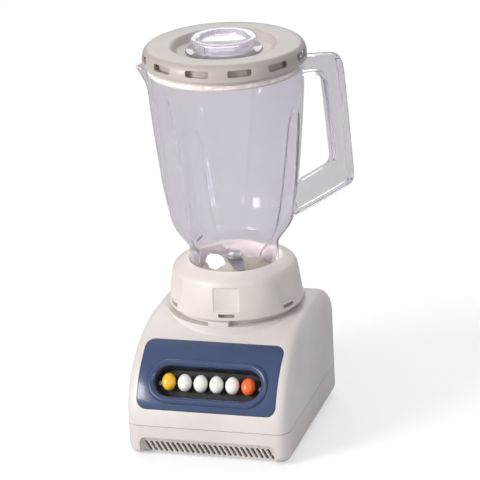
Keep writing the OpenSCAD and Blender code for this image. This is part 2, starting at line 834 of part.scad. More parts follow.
// ---- lid ----
module lid() {
    edge = 4;
    top = lid_h;
    color("cornsilk") translate([0, 0, lid_z]) difference() {
        rotate_extrude() polygon(concat(
            [[cap_hole_r, top - 8.4], [cap_hole_r, top - 6]],
            [[cap_flange_r + 1.5, top - 6], [dish_r + 10, top - 2.4], [dish_r + 19, top]],
            arc(lid_r - edge, top - edge, edge, edge, 90, 0, 5),
            [[lid_r, 0], [lid_r - lid_wall, 0], [lid_r - lid_wall, top - edge - 1],
            [lid_r - edge, top - lid_wall], [plug_r, top - lid_wall], [plug_r, plug_low_z - lid_z],
            [plug_r - lid_wall, plug_low_z - lid_z], [plug_r - lid_wall, top - lid_wall - 1],
            [dish_r + 12, top - 4.8], [cap_flange_r + 2.5, top - 8.4]]));
        // Windows through the flange's upper edge
        for (i = [0 : window_count - 1]) facing(window_dir + 15 + i * 360 / window_count)
            translate([lid_r - lid_wall - 1, -lid_r * sin(window_angle / 2), top - 9.6])
                cube([8, 2 * lid_r * sin(window_angle / 2), 5.8]);
    }
}

module lid_gasket() {
    color("white") translate([0, 0, plug_low_z + 1.5]) tube(plug_r + seal_bead, plug_r, 3);
}

module filler_cap() {
    base = lid_z + lid_h - 6;
    color("lavender", 0.6) difference() {
        union() {
            translate([0, 0, base + 0.2]) cylinder(r = cap_flange_r, h = cap_wall);
            translate([0, 0, base + 0.2])
                cylinder(r1 = cap_flange_r - 3.4, r2 = cap_flange_r - 4.4, h = cap_top_h);
            translate([0, 0, base - cap_depth]) cylinder(r = cap_body_r, h = cap_depth + 1);
        }
        translate([0, 0, base - cap_depth - 1])
            cylinder(r = cap_body_r - cap_wall, h = cap_depth + cap_top_h - cap_wall);
        for (i = [0 : 11]) rotate([0, 0, i * 30]) translate([cap_flange_r - 1.6, 0, base + 3])
            cylinder(r = 3.2, h = 20, $fn = 24);
    }
}

translate([axis_x, axis_y, 0]) {
    upper_housing();
    bottom_pan();
    control_panel();
    switch_block();
    switch_bracket_screws();
    rubber_feet();
    housing_screws();
    cord_gland();
    stator_core();
    field_coils();
    lower_bracket();
    upper_bracket();
    bracket_screws();
    motor_mounts();
    lower_bush();
    upper_bush();
    brush_holders();
    carbon_brushes();
    motor_shaft();
    armature_core();
    armature_winding();
    commutator();
    cooling_fan();
    drive_coupling();
    for (i = [0 : BUTTON_COUNT - 1]) {
        color(i == 0 ? "orange" : i == BUTTON_COUNT - 1 ? "orangered" : "snow") button(i);
        plunger(i);
    }
    jar();
    collar();
    bearing_housing();
    neck_seal();
    spindle_bush();
    blade_spindle();
    upper_blade();
    lower_blade();
    blade_nut();
    driven_coupling();
    lid();
    lid_gasket();
    filler_cap();
}
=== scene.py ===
"""Looks of a countertop blender: a button-fronted motor base, a clear jar and a lid with a filler cap.

Every visible shell is remodelled over its CAD solid, in metres. +Z is up and -Y is the front. Pieces are
made round the motor's axis and then moved to its place in the frame, whose origin is the middle of the
footprint. The motor and the other inner pieces stay as CAD nodes and get their own finishes.
"""

import json
import logging
import math
from contextlib import contextmanager
from dataclasses import dataclass
from enum import Enum
from typing import Any, Callable, Iterator, Sequence

import bmesh
import bpy
from mathutils import Matrix, Vector


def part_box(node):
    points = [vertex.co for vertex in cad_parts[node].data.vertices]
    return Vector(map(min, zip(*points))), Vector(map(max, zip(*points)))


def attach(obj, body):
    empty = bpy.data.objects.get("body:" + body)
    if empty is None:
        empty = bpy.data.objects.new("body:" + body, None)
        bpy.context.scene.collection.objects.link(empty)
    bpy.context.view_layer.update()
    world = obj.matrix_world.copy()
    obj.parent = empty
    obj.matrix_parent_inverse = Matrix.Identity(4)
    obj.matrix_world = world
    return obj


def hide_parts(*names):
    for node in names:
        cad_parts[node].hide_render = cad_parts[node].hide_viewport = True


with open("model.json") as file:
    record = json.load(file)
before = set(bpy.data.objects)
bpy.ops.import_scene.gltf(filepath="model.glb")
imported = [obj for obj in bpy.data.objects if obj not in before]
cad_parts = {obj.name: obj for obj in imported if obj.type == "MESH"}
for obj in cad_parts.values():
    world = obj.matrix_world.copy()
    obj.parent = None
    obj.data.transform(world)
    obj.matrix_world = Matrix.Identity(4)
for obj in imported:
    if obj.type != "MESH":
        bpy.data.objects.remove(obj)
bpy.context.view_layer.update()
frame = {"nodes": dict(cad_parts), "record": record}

log = logging.getLogger("blender_looks")

MM = 0.001
AXIS = Vector(next(j["pos_m"] for j in frame["record"]["behaviour"]["joints"] if j["name"] == "rotor_spin"))
AXIS.z = 0.0
Point = tuple[float, float]


def span(node: str) -> tuple[Vector, Vector]:
    """A CAD node's lowest and highest corners, measured from the motor's axis."""
    low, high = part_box(node)
    return Vector(low) - AXIS, Vector(high) - AXIS


# ---------------------------------------------------------------- shader maths
class Wire:
    """An output socket or a number in a node tree, with arithmetic that adds Math nodes."""

    def __init__(self, paint: "Paint", link: Any) -> None:
        """Wraps a socket or a number.

        Args:
            paint: The material builder that owns the node tree.
            link: A node's output socket, or a plain number.
        """
        self.paint = paint
        self.link = link

    def _maths(self, operation: str, *values: Any, clamp: bool = False) -> "Wire":
        """Adds one Math node on the given values."""
        inputs = dict(enumerate(values))
        return self.paint.node("ShaderNodeMath", {"operation": operation, "use_clamp": clamp}, inputs)

    def __add__(self, other: Any) -> "Wire":
        """Sum."""
        return self._maths("ADD", self, other)

    __radd__ = __add__

    def __sub__(self, other: Any) -> "Wire":
        """Difference."""
        return self._maths("SUBTRACT", self, other)

    def __rsub__(self, other: Any) -> "Wire":
        """Difference from a number."""
        return self._maths("SUBTRACT", other, self)

    def __mul__(self, other: Any) -> "Wire":
        """Product."""
        return self._maths("MULTIPLY", self, other)

    __rmul__ = __mul__

    def __truediv__(self, other: Any) -> "Wire":
        """Quotient."""
        return self._maths("DIVIDE", self, other)

    def power(self, exponent: float) -> "Wire":
        """This value raised to a power."""
        return self._maths("POWER", self, exponent)

    def sine(self) -> "Wire":
        """Sine of this value in radians."""
        return self._maths("SINE", self)

    def clamped(self) -> "Wire":
        """This value kept between 0 and 1."""
        return self._maths("ADD", self, 0.0, clamp=True)

    def stepped(self, low: float, high: float) -> "Wire":
        """A smooth step from 0 at low to 1 at high."""
        settings = {"interpolation_type": "SMOOTHSTEP"}
        values = {"Value": self, "From Min": low, "From Max": high}
        return self.paint.node("ShaderNodeMapRange", settings, values)


class Paint:
    """Builds one node material around a Principled shader."""

    def __init__(self, name: str) -> None:
        """Makes an empty node material.

        Args:
            name: The material's name.
        """
        self.material = bpy.data.materials.new(name)
        self.material.use_nodes = True
        self.tree = self.material.node_tree
        self.tree.nodes.clear()
        self.output = self.tree.nodes.new("ShaderNodeOutputMaterial")
        self.shader = self.tree.nodes.new("ShaderNodeBsdfPrincipled")
        self.tree.links.new(self.shader.outputs[0], self.output.inputs["Surface"])

    def plug(self, socket: Any, value: Any) -> None:
        """Sets a socket to a constant, or links a wire to it.

        Args:
            socket: The input socket.
            value: A wire, a number, a colour or a vector.
        """
        if isinstance(value, Wire):
            value = value.link
        if isinstance(value, bpy.types.NodeSocket):
            self.tree.links.new(value, socket)
        elif isinstance(value, (tuple, list)) and len(value) == 3 and socket.type == "RGBA":
            socket.default_value = (*value, 1.0)
        else:
            socket.default_value = value

    def node(self, kind: str, settings: dict[str, Any] | None = None, inputs: dict[Any, Any] | None = None,
             output: Any = 0) -> Wire:
        """Adds a node.

        Args:
            kind: The node's type name.
            settings: Attributes to set before its sockets are filled.
            inputs: Values or wires by socket name or index.
            output: The output to return, by name or index.

        Returns:
            The chosen output.
        """
        new = self.tree.nodes.new(kind)
        for key, value in (settings or {}).items():
            setattr(new, key, value)
        for key, value in (inputs or {}).items():
            self.plug(new.inputs[key], value)
        return Wire(self, new.outputs[output])

    def place(self) -> Wire:
        """The surface's own object coordinates."""
        return self.node("ShaderNodeTexCoord", output="Object")

    def axis(self, letter: str) -> Wire:
        """One object coordinate, in metres."""
        return self.node("ShaderNodeSeparateXYZ", None, {0: self.place()}, letter)

    def noise(self, scale: float, detail: float = 3.0, rough: float = 0.55,
              stretch: tuple[float, float, float] = (1.0, 1.0, 1.0)) -> Wire:
        """Fractal noise on object coordinates, from 0 to 1.

        Args:
            scale: How fine the noise is.
            detail: Its octaves.
            rough: How strong the finer octaves are.
            stretch: Scale along each axis.

        Returns:
            The pattern.
        """
        where = self.node("ShaderNodeMapping", None, {"Vector": self.place(), "Scale": stretch})
        return self.node("ShaderNodeTexNoise", None,
                         {"Vector": where, "Scale": scale, "Detail": detail, "Roughness": rough}, 0)

    def mix(self, amount: Any, one: Any, two: Any) -> Wire:
        """A colour between two colours.

        Args:
            amount: 0 for the first colour and 1 for the second.
            one: The first colour.
            two: The second colour.

        Returns:
            The mixed colour.
        """
        new = self.tree.nodes.new("ShaderNodeMix")
        new.data_type = "RGBA"
        self.plug(new.inputs[0], amount)
        self.plug(new.inputs[6], one)
        self.plug(new.inputs[7], two)
        return Wire(self, new.outputs[2])

    def bump(self, height: Wire, distance: float, strength: float = 1.0) -> None:
        """Feeds a height pattern to the shader's normal."""
        self.set(Normal=self.node("ShaderNodeBump", None,
                                  {"Height": height, "Distance": distance, "Strength": strength}))

    def set(self, **values: Any) -> "Paint":
        """Fills the Principled shader's sockets; an underscore in a name stands for a space.

        Args:
            values: The sockets' names and what goes into them.

        Returns:
            The same builder.
        """
        for key, value in values.items():
            self.plug(self.shader.inputs[key.replace("_", " ")], value)
        return self


# ---------------------------------------------------------------- mesh work
def deselect_all() -> None:
    """Leaves nothing selected, in object mode."""
    if bpy.context.object and bpy.context.object.mode != "OBJECT":
        bpy.ops.object.mode_set(mode="OBJECT")
    bpy.ops.object.select_all(action="DESELECT")


def pick(piece: bpy.types.Object) -> bpy.types.Object:
    """Makes one object the only selected and the active one.

    Args:
        piece: The object.

    Returns:
        The same object.
    """
    deselect_all()
    piece.select_set(True)
    bpy.context.view_layer.objects.active = piece
    return piece


@contextmanager
def editing(piece: bpy.types.Object) -> Iterator[bpy.types.Object]:
    """Edit mode on one object, with everything selected at the start.

    Args:
        piece: The object to edit.

    Returns:
        The object, while it is being edited.
    """
    pick(piece)
    bpy.ops.object.mode_set(mode="EDIT")
    bpy.ops.mesh.select_all(action="SELECT")
    try:
        yield piece
    finally:
        bpy.ops.object.mode_set(mode="OBJECT")


def choose(piece: bpy.types.Object, kind: str, test: Callable[[Any], bool]) -> int:
    """Selects the faces, edges or vertices that pass a test, in edit mode.

    Args:
        piece: The object being edited.
        kind: "faces", "edges" or "verts".
        test: Called with each bmesh element.

    Returns:
        How many were selected.
    """
    mode = {"faces": "FACE", "edges": "EDGE", "verts": "VERT"}[kind]
    bpy.ops.mesh.select_mode(type=mode)
    bpy.ops.mesh.select_all(action="DESELECT")
    work = bmesh.from_edit_mesh(piece.data)
    found = [item for item in getattr(work, kind) if test(item)]
    for item in found:
        item.select_set(True)
    work.select_flush_mode()
    bmesh.update_edit_mesh(piece.data)
    return len(found)


def middle(item: Any) -> Vector:
    """The middle of an edge or a face.

    Args:
        item: An edge or a face that is being edited.

    Returns:
        Its middle point.
    """
    if hasattr(item, "calc_center_median"):
        return item.calc_center_median()
    return (item.verts[0].co + item.verts[1].co) / 2


def apply_place(piece: bpy.types.Object) -> bpy.types.Object:
    """Moves the object's place into its mesh.

    Args:
        piece: The object.

    Returns:
        The same object, at the origin.
    """
    pick(piece)
    bpy.ops.object.transform_apply(location=True, rotation=True, scale=True)
    return piece


def named(name: str) -> bpy.types.Object:
    """Names the active object and its mesh.

    Args:
        name: The new name.

    Returns:
        The active object.
    """
    piece = bpy.context.object
    piece.name = name
    piece.data.name = name
    return piece


def outline(name: str, points: Sequence[Sequence[float]]) -> bpy.types.Object:
    """A single face whose corners are the given points.

    Args:
        name: The piece's name.
        points: Corners in order, in metres.

    Returns:
        The new object.
    """
    deselect_all()
    bpy.ops.mesh.primitive_circle_add(vertices=len(points), radius=1.0, fill_type="NGON")
    piece = named(name)
    for vertex, point in zip(piece.data.vertices, points):
        vertex.co = point
    return piece


def extruded(piece: bpy.types.Object, way: Sequence[float]) -> bpy.types.Object:
    """Extrudes a face into a solid along a vector, with its faces outwards.

    Args:
        piece: An object that is a single face.
        way: The vector, in metres.

    Returns:
        The closed solid.
    """
    with editing(piece):
        bpy.ops.mesh.extrude_region_move(TRANSFORM_OT_translate={"value": way})
        bpy.ops.mesh.select_all(action="SELECT")
        bpy.ops.mesh.normals_make_consistent(inside=False)
    return piece


def turned(name: str, points: Sequence[Point], steps: int = 128) -> bpy.types.Object:
    """Spins an outline of (radius, height) points, in metres, round the Z axis.

    Args:
        name: The piece's name.
        points: The closed outline, or an open one that starts and ends on the axis.
        steps: Steps round the turn.

    Returns:
        The closed solid of revolution.
    """
    piece = outline(name, [(radius, 0.0, height) for radius, height in points])
    with editing(piece):
        bpy.ops.mesh.delete(type="ONLY_FACE")
        bpy.ops.mesh.select_all(action="SELECT")
        on_axis = choose(piece, "edges", lambda e: all(abs(v.co.x) < 1e-6 for v in e.verts))
        if on_axis:
            bpy.ops.mesh.delete(type="EDGE")
        bpy.ops.mesh.select_all(action="SELECT")
        bpy.ops.mesh.spin(steps=steps, angle=2 * math.pi, center=(0, 0, 0), axis=(0, 0, 1))
        bpy.ops.mesh.select_all(action="SELECT")
        bpy.ops.mesh.remove_doubles(threshold=1e-6)
        bpy.ops.mesh.normals_make_consistent(inside=False)
    return piece


def curve_between(start: Point, corner: Point, end: Point, steps: int = 6) -> list[Point]:
    """Points on a quadratic curve that rounds a corner.

    Args:
        start: The first point.
        corner: The corner that the curve leans towards.
        end: The last point.
        steps: Segments of the curve.

    Returns:
        The points, both ends included.
    """
    made = []
    for i in range(steps + 1):
        t = i / steps
        made.append(tuple((1 - t) ** 2 * a + 2 * t * (1 - t) * b + t * t * c
                          for a, b, c in zip(start, corner, end)))
    return made


def rounded(points: Sequence[Point], radius: float, steps: int = 4, closed: bool = True) -> list[Point]:
    """Rounds each corner of an outline.

    Args:
        points: The sharp outline.
        radius: How far from a corner its rounding starts, at most 0.45 of an edge.
        steps: Segments in each rounding.
        closed: Whether the last point joins the first.

    Returns:
        The rounded outline.
    """
    made: list[Point] = []
    count = len(points)
    for i, corner in enumerate(points):
        if not closed and i in (0, count - 1):
            made.append(tuple(corner))
            continue
        here = Vector(corner)
        before, after = Vector(points[i - 1]), Vector(points[(i + 1) % count])
        back = min(radius, 0.45 * (before - here).length)
        on = min(radius, 0.45 * (after - here).length)
        start = here + (before - here).normalized() * back
        end = here + (after - here).normalized() * on
        made += curve_between(tuple(start), tuple(corner), tuple(end), steps)
    return made


def arc(center: Point, size: Point, first: float, last: float, steps: int) -> list[Point]:
    """Points on an ellipse's arc, from one angle to another in degrees.

    Args:
        center: The ellipse's middle.
        size: Its two radii.
        first: The first angle.
        last: The last angle.
        steps: Segments of the arc.

    Returns:
        The points, both ends included.
    """
    made = []
    for i in range(steps + 1):
        angle = math.radians(first + (last - first) * i / steps)
        made.append((center[0] + size[0] * math.cos(angle), center[1] + size[1] * math.sin(angle)))
    return made


def joined(pieces: Sequence[bpy.types.Object], name: str) -> bpy.types.Object:
    """Joins several objects into one mesh.

    Args:
        pieces: The objects to join.
        name: The joined object's name.

    Returns:
        The joined object.
    """
    deselect_all()
    for piece in pieces:
        piece.select_set(True)
    bpy.context.view_layer.objects.active = pieces[0]
    if len(pieces) > 1:
        bpy.ops.object.join()
    return named(name)


def cut(piece: bpy.types.Object, tool: bpy.types.Object, how: str = "DIFFERENCE",
        keep: bool = False) -> bpy.types.Object:
    """Combines a solid with a tool solid, and removes the tool.

    Args:
        piece: The solid to change.
        tool: The other solid.
        how: DIFFERENCE, UNION or INTERSECT.
        keep: Whether the tool stays.

    Returns:
        The changed solid.
    """
    pick(piece)
    change = piece.modifiers.new("combine", "BOOLEAN")
    change.operation = how
    change.solver = "EXACT"
    change.object = tool
    bpy.ops.object.modifier_apply(modifier=change.name)
    if not keep:
        bpy.data.objects.remove(tool, do_unlink=True)
    return piece


def soften(piece: bpy.types.Object, width: float, angle: float = 35.0, segments: int = 2) -> bpy.types.Object:
    """Bevels the edges that are sharper than an angle, with a modifier that is applied.

    Args:
        piece: The solid.
        width: The bevel's width.
        angle: The angle in degrees.
        segments: Segments of the bevel.

    Returns:
        The same object.
    """
    pick(piece)
    change = piece.modifiers.new("soften", "BEVEL")
    change.width = width
    change.segments = segments
    change.limit_method = "ANGLE"
    change.angle_limit = math.radians(angle)
    change.use_clamp_overlap = True
    change.harden_normals = False
    bpy.ops.object.modifier_apply(modifier=change.name)
    return piece


def smooth(piece: bpy.types.Object, angle: float = 30.0) -> bpy.types.Object:
    """Merges doubles, turns the faces outwards and shades the piece smooth up to an angle.

    Args:
        piece: The solid.
        angle: The angle in degrees.

    Returns:
        The same object.
    """
    with editing(piece):
        bpy.ops.mesh.remove_doubles(threshold=2e-6)
        bpy.ops.mesh.normals_make_consistent(inside=False)
    pick(piece)
    bpy.ops.object.shade_smooth_by_angle(angle=math.radians(angle))
    return piece


def copied(piece: bpy.types.Object, name: str, place: Matrix) -> bpy.types.Object:
    """A copy with its own mesh, moved by a matrix that goes into the mesh.

    Args:
        piece: The object to copy.
        name: The copy's name.
        place: The matrix.

    Returns:
        The copy.
    """
    pick(piece)
    bpy.ops.object.duplicate()
    twin = named(name)
    twin.data.transform(place)
    if place.determinant() < 0:
        twin.data.flip_normals()
    return twin


def block(name: str, low: Sequence[float], high: Sequence[float]) -> bpy.types.Object:
    """A box between two corners.

    Args:
        name: The piece's name.
        low: The lowest corner.
        high: The highest corner.

    Returns:
        The box.
    """
    deselect_all()
    size = [b - a for a, b in zip(low, high)]
    center = [(a + b) / 2 for a, b in zip(low, high)]
    bpy.ops.mesh.primitive_cube_add(size=1.0, location=center, scale=size)
    return apply_place(named(name))


def rod(name: str, radius: float, low: float, high: float, sides: int = 48, top: float | None = None,
        place: Matrix | None = None) -> bpy.types.Object:
    """A round bar or cone along Z, from a low to a high level, then moved by a matrix.

    Args:
        name: The piece's name.
        radius: The radius, at the foot if it is a cone.
        low: The low level.
        high: The high level.
        sides: Sides round the bar.
        top: A cone's top radius, or None for a straight bar.
        place: The matrix, or None to leave it on the Z axis.

    Returns:
        The bar or cone.
    """
    deselect_all()
    bpy.ops.mesh.primitive_cone_add(vertices=sides, radius1=radius, radius2=radius if top is None else top,
                                    depth=high - low, location=(0, 0, (low + high) / 2))
    piece = apply_place(named(name))
    if place is not None:
        piece.data.transform(place)
    return piece


def stadium_points(width: float, height: float, steps: int = 16) -> list[Point]:
    """The outline of a bar with round ends.

    Args:
        width: The whole width.
        height: The height, which is the ends' diameter.
        steps: Segments in each end.

    Returns:
        The outline's points.
    """
    end = height / 2
    reach = width / 2 - end
    right = arc((reach, 0.0), (end, end), -90, 90, steps)
    left = arc((-reach, 0.0), (end, end), 90, 270, steps)
    return right + left


def round_box_points(width: float, height: float, radius: float, steps: int = 8) -> list[Point]:
    """The outline of a rectangle with round corners.

    Args:
        width: The whole width.
        height: The whole height.
        radius: The corners' radius.
        steps: Segments in each corner.

    Returns:
        The outline's points.
    """
    made: list[Point] = []
    for turn, (x, y) in enumerate(((1, -1), (1, 1), (-1, 1), (-1, -1))):
        center = (x * (width / 2 - radius), y * (height / 2 - radius))
        made += arc(center, (radius, radius), 90 * turn - 90, 90 * turn, steps)
    return made


def spin_place(degrees: float) -> Matrix:
    """A turn about the object's axis; 0 faces the front and 90 faces the right."""
    return Matrix.Rotation(math.radians(degrees - 90), 4, "Z")


# ---------------------------------------------------------------- finishes
class Tone(Enum):
    """Base colours of the mouldings, as linear RGB; the lid's tone also holds painted shade."""

    HOUSING = (0.72, 0.675, 0.64)
    PAN = (0.70, 0.65, 0.61)
    COLLAR = (0.72, 0.67, 0.61)
    # Painted shade: the lid's cream tone is darkened to stand in for the weak light on its top.
    LID = (0.50, 0.455, 0.405)
    PANEL = (0.043, 0.070, 0.158)
    YELLOW = (0.95, 0.52, 0.035)
    WHITE = (0.90, 0.87, 0.81)
    RED = (0.93, 0.14, 0.02)
    NYLON = (0.46, 0.42, 0.31)
    SEAL = (0.66, 0.62, 0.50)


@dataclass(frozen=True)
class Moulding:
    """Moulded plastic: an even colour with faint mottling and a fine skin texture."""

    name: str
    tone: tuple[float, float, float]
    gloss: float = 0.38
    skin: float = 0.00006
    grain: float = 900.0
    mottling: float = 0.06
    coat: float = 0.0
    glow: float = 0.0

    def build(self) -> bpy.types.Material:
        """Makes the material.

        Returns:
            The finished material.
        """
        paint = Paint(self.name)
        shade = tuple(c * (1 - self.mottling) for c in self.tone)
        light = tuple(min(1.0, c * (1 + self.mottling)) for c in self.tone)
        cloud = paint.noise(14.0, 4.0)
        fine = paint.noise(self.grain, 2.0)
        paint.set(Base_Color=paint.mix(cloud.stepped(0.3, 0.7), shade, light),
                  Roughness=self.gloss + (cloud - 0.5) * 0.10 + (fine - 0.5) * 0.08,
                  IOR=1.5, Specular_IOR_Level=0.5, Coat_Weight=self.coat, Coat_Roughness=0.12)
        if self.glow:
            paint.set(Subsurface_Weight=self.glow, Subsurface_Radius=(0.012, 0.009, 0.006),
                      Subsurface_Scale=1.0)
        paint.bump(fine + cloud * 2.0, self.skin, 0.6)
        return paint.material


@dataclass(frozen=True)
class ClearMoulding:
    """Clear plastic with a faint tint, flow lines and light scratches."""

    name: str
    tint: tuple[float, float, float] = (0.945, 0.918, 0.957)
    gloss: float = 0.035
    haze: float = 0.05
    flow: float = 0.0004

    def build(self) -> bpy.types.Material:
        """Makes the material.

        Returns:
            The finished material.
        """
        paint = Paint(self.name)
        drift = paint.noise(9.0, 2.0, 0.5, (1.0, 1.0, 0.25))
        scratch = paint.noise(260.0, 2.0, 0.6, (1.0, 1.0, 0.06))
        paint.set(Base_Color=self.tint, Roughness=self.gloss + scratch.stepped(0.55, 0.8) * 0.05,
                  IOR=1.49, Transmission_Weight=1.0 - self.haze, Specular_IOR_Level=0.5)
        paint.bump(drift, self.flow, 0.5)
        clear = paint.tree.nodes.new("ShaderNodeBsdfTransparent")
        paint.plug(clear.inputs["Color"], tuple(0.6 + 0.4 * c for c in self.tint))
        blend = paint.tree.nodes.new("ShaderNodeMixShader")
        paths = paint.node("ShaderNodeLightPath", output="Is Shadow Ray")
        paint.plug(blend.inputs[0], paths)
        paint.tree.links.new(paint.shader.outputs[0], blend.inputs[1])
        paint.tree.links.new(clear.outputs[0], blend.inputs[2])
        paint.tree.links.new(blend.outputs[0], paint.output.inputs["Surface"])
        return paint.material


@dataclass(frozen=True)
class Metal:
    """Machined, ground or plated metal with directional brushing and stains."""

    name: str
    tone: tuple[float, float, float]
    gloss: float = 0.28
    grain: float = 700.0
    stretch: tuple[float, float, float] = (1.0, 1.0, 12.0)
    depth: float = 0.00004

    def build(self) -> bpy.types.Material:
        """Makes the material.

        Returns:
            The finished material.
        """
        paint = Paint(self.name)
        brushed = paint.noise(self.grain, 3.0, 0.6, self.stretch)
        stain = paint.noise(60.0, 4.0)
        dark = tuple(c * 0.72 for c in self.tone)
        paint.set(Base_Color=paint.mix(stain.stepped(0.35, 0.75), self.tone, dark), Metallic=1.0,
                  Roughness=self.gloss + (brushed - 0.5) * 0.18 + stain * 0.08)
        paint.bump(brushed, self.depth, 0.5)
        return paint.material


@dataclass(frozen=True)
class Elastic:
    """Moulded rubber with a dusty bloom."""

    name: str
    tone: tuple[float, float, float]
    gloss: float = 0.62

    def build(self) -> bpy.types.Material:
        """Makes the material.

        Returns:
            The finished material.
        """
        paint = Paint(self.name)
        bloom = paint.noise(180.0, 4.0)
        dusty = tuple(min(1.0, c * 1.5 + 0.02) for c in self.tone)
        paint.set(Base_Color=paint.mix(bloom.stepped(0.4, 0.7), self.tone, dusty),
                  Roughness=self.gloss + (bloom - 0.5) * 0.2)
        paint.bump(paint.noise(2200.0, 2.0), 0.00005, 0.5)
        return paint.material


@dataclass(frozen=True)
class Layered:
    """Stacked or wound metal: fine rings along Z, as on laminations and windings."""

    name: str
    tone: tuple[float, float, float]
    pitch: float
    metallic: float = 0.8
    gloss: float = 0.45

    def build(self) -> bpy.types.Material:
        """Makes the material.

        Returns:
            The finished material.
        """
        paint = Paint(self.name)
        wave = (paint.axis("Z") * (2 * math.pi / self.pitch)).sine() * 0.5 + 0.5
        patch = paint.noise(120.0, 4.0)
        dark = tuple(c * 0.45 for c in self.tone)
        paint.set(Base_Color=paint.mix((wave * 0.7 + patch * 0.4).clamped(), dark, self.tone),
                  Metallic=self.metallic, Roughness=self.gloss + patch * 0.15)
        paint.bump(wave, 0.0001, 0.8)
        return paint.material


class Finishes:
    """All finishes of the object, made once and shared by slot name."""

    def __init__(self) -> None:
        """Builds every material."""
        mouldings = [
            Moulding("housing_plastic", Tone.HOUSING.value, 0.42, 0.00005),
            Moulding("pan_plastic", Tone.PAN.value, 0.46, 0.00006),
            Moulding("panel_plastic", Tone.PANEL.value, 0.30, 0.00003, coat=0.25, mottling=0.05),
            Moulding("collar_plastic", Tone.COLLAR.value, 0.36, 0.00004),
            Moulding("lid_plastic", Tone.LID.value, 0.36, 0.00004),
            Moulding("button_yellow", Tone.YELLOW.value, 0.22, 0.00002, coat=0.4),
            Moulding("button_white", Tone.WHITE.value, 0.22, 0.00002, coat=0.4, mottling=0.03),
            Moulding("button_red", Tone.RED.value, 0.22, 0.00002, coat=0.4),
            Moulding("nylon_white", Tone.NYLON.value, 0.50, 0.00005),
            Moulding("brown_resin", (0.16, 0.06, 0.03), 0.4),
            Moulding("carbon", (0.02, 0.02, 0.022), 0.55, 0.0001),
            Moulding("fan_plastic", (0.10, 0.14, 0.20), 0.5)]
        metals = [
            Metal("steel_blade", (0.14, 0.135, 0.14), 0.46, 500.0, (1.0, 8.0, 1.0)),
            Metal("steel_zinc", (0.58, 0.59, 0.60), 0.32),
            Metal("bronze_bush", (0.60, 0.38, 0.16), 0.40)]
        others = [
            ClearMoulding("jar_clear"),
            ClearMoulding("cap_clear", (0.88, 0.85, 0.915), 0.09, 0.22),
            Elastic("black_rubber", (0.012, 0.012, 0.013)), Elastic("grey_rubber", (0.055, 0.055, 0.058)),
            Elastic("seal_rubber", Tone.SEAL.value, 0.5),
            Layered("iron_core", (0.22, 0.23, 0.25), 0.0010),
            Layered("copper_wire", (0.62, 0.24, 0.09), 0.0014)]
        self.by_slot = {finish.name: finish.build() for finish in mouldings + metals + others}

    def dress(self, piece: bpy.types.Object, slot: str) -> None:
        """Gives a piece the finish of a slot."""
        piece.data.materials.clear()
        piece.data.materials.append(self.by_slot[slot])

    def dress_frame(self) -> None:
        """Gives every CAD node its slot's finish."""
        slots = {entry["node"]: entry["material_slot"] for entry in frame["record"]["subparts"]}
        for name, node in frame["nodes"].items():
            for place in node.material_slots:
                place.material = self.by_slot[slots[name]]


class Assembly:
    """Shared ways of the sub-assemblies: finishing pieces and tying them to the frame."""

    def __init__(self, finishes: Finishes) -> None:
        """Keeps the finishes at hand."""
        self.finishes = finishes

    def place(self, piece: bpy.types.Object, slot: str, body: str, *nodes: str) -> bpy.types.Object:
        """Dresses a piece, ties it to a body and lets it stand for CAD nodes.

        Args:
            piece: The finished piece.
            slot: The record's material slot.
            body: The body that it rides on. The piece is moved from the motor's axis to its place first.
            nodes: The CAD nodes that it replaces.

        Returns:
            The piece.
        """
        piece.data.transform(Matrix.Translation(AXIS))
        self.finishes.dress(piece, slot)
        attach(piece, body)
        if nodes:
            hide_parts(*nodes)
        log.info("%s: %d faces, on %s", piece.name, len(piece.data.polygons), body)
        return piece


def lofted(name: str, rings: Sequence[Sequence[Sequence[float]]], capped: bool = False) -> bpy.types.Object:
    """A skin through rings of equally many points, made by extruding and reshaping the last ring.

    Args:
        name: The piece's name.
        rings: The rings' points in order, in metres; each ring goes round the same way.
        capped: Whether the first and last rings are filled.

    Returns:
        The new object, with its faces outwards if it is closed.
    """
    piece = outline(name, rings[0])
    with editing(piece):
        if not capped:
            bpy.ops.mesh.delete(type="ONLY_FACE")
        bpy.ops.mesh.select_all(action="SELECT")
        for before, after in zip(rings, rings[1:]):
            index = {tuple(round(c, 7) for c in point): i for i, point in enumerate(before)}
            bpy.ops.mesh.extrude_region_move(TRANSFORM_OT_translate={"value": (0, 0, 0)})
            work = bmesh.from_edit_mesh(piece.data)
            for vertex in (v for v in work.verts if v.select):
                vertex.co = after[index[tuple(round(c, 7) for c in vertex.co)]]
            bmesh.update_edit_mesh(piece.data)
        if capped:
            bpy.ops.mesh.select_all(action="SELECT")
            bpy.ops.mesh.normals_make_consistent(inside=False)
    return piece


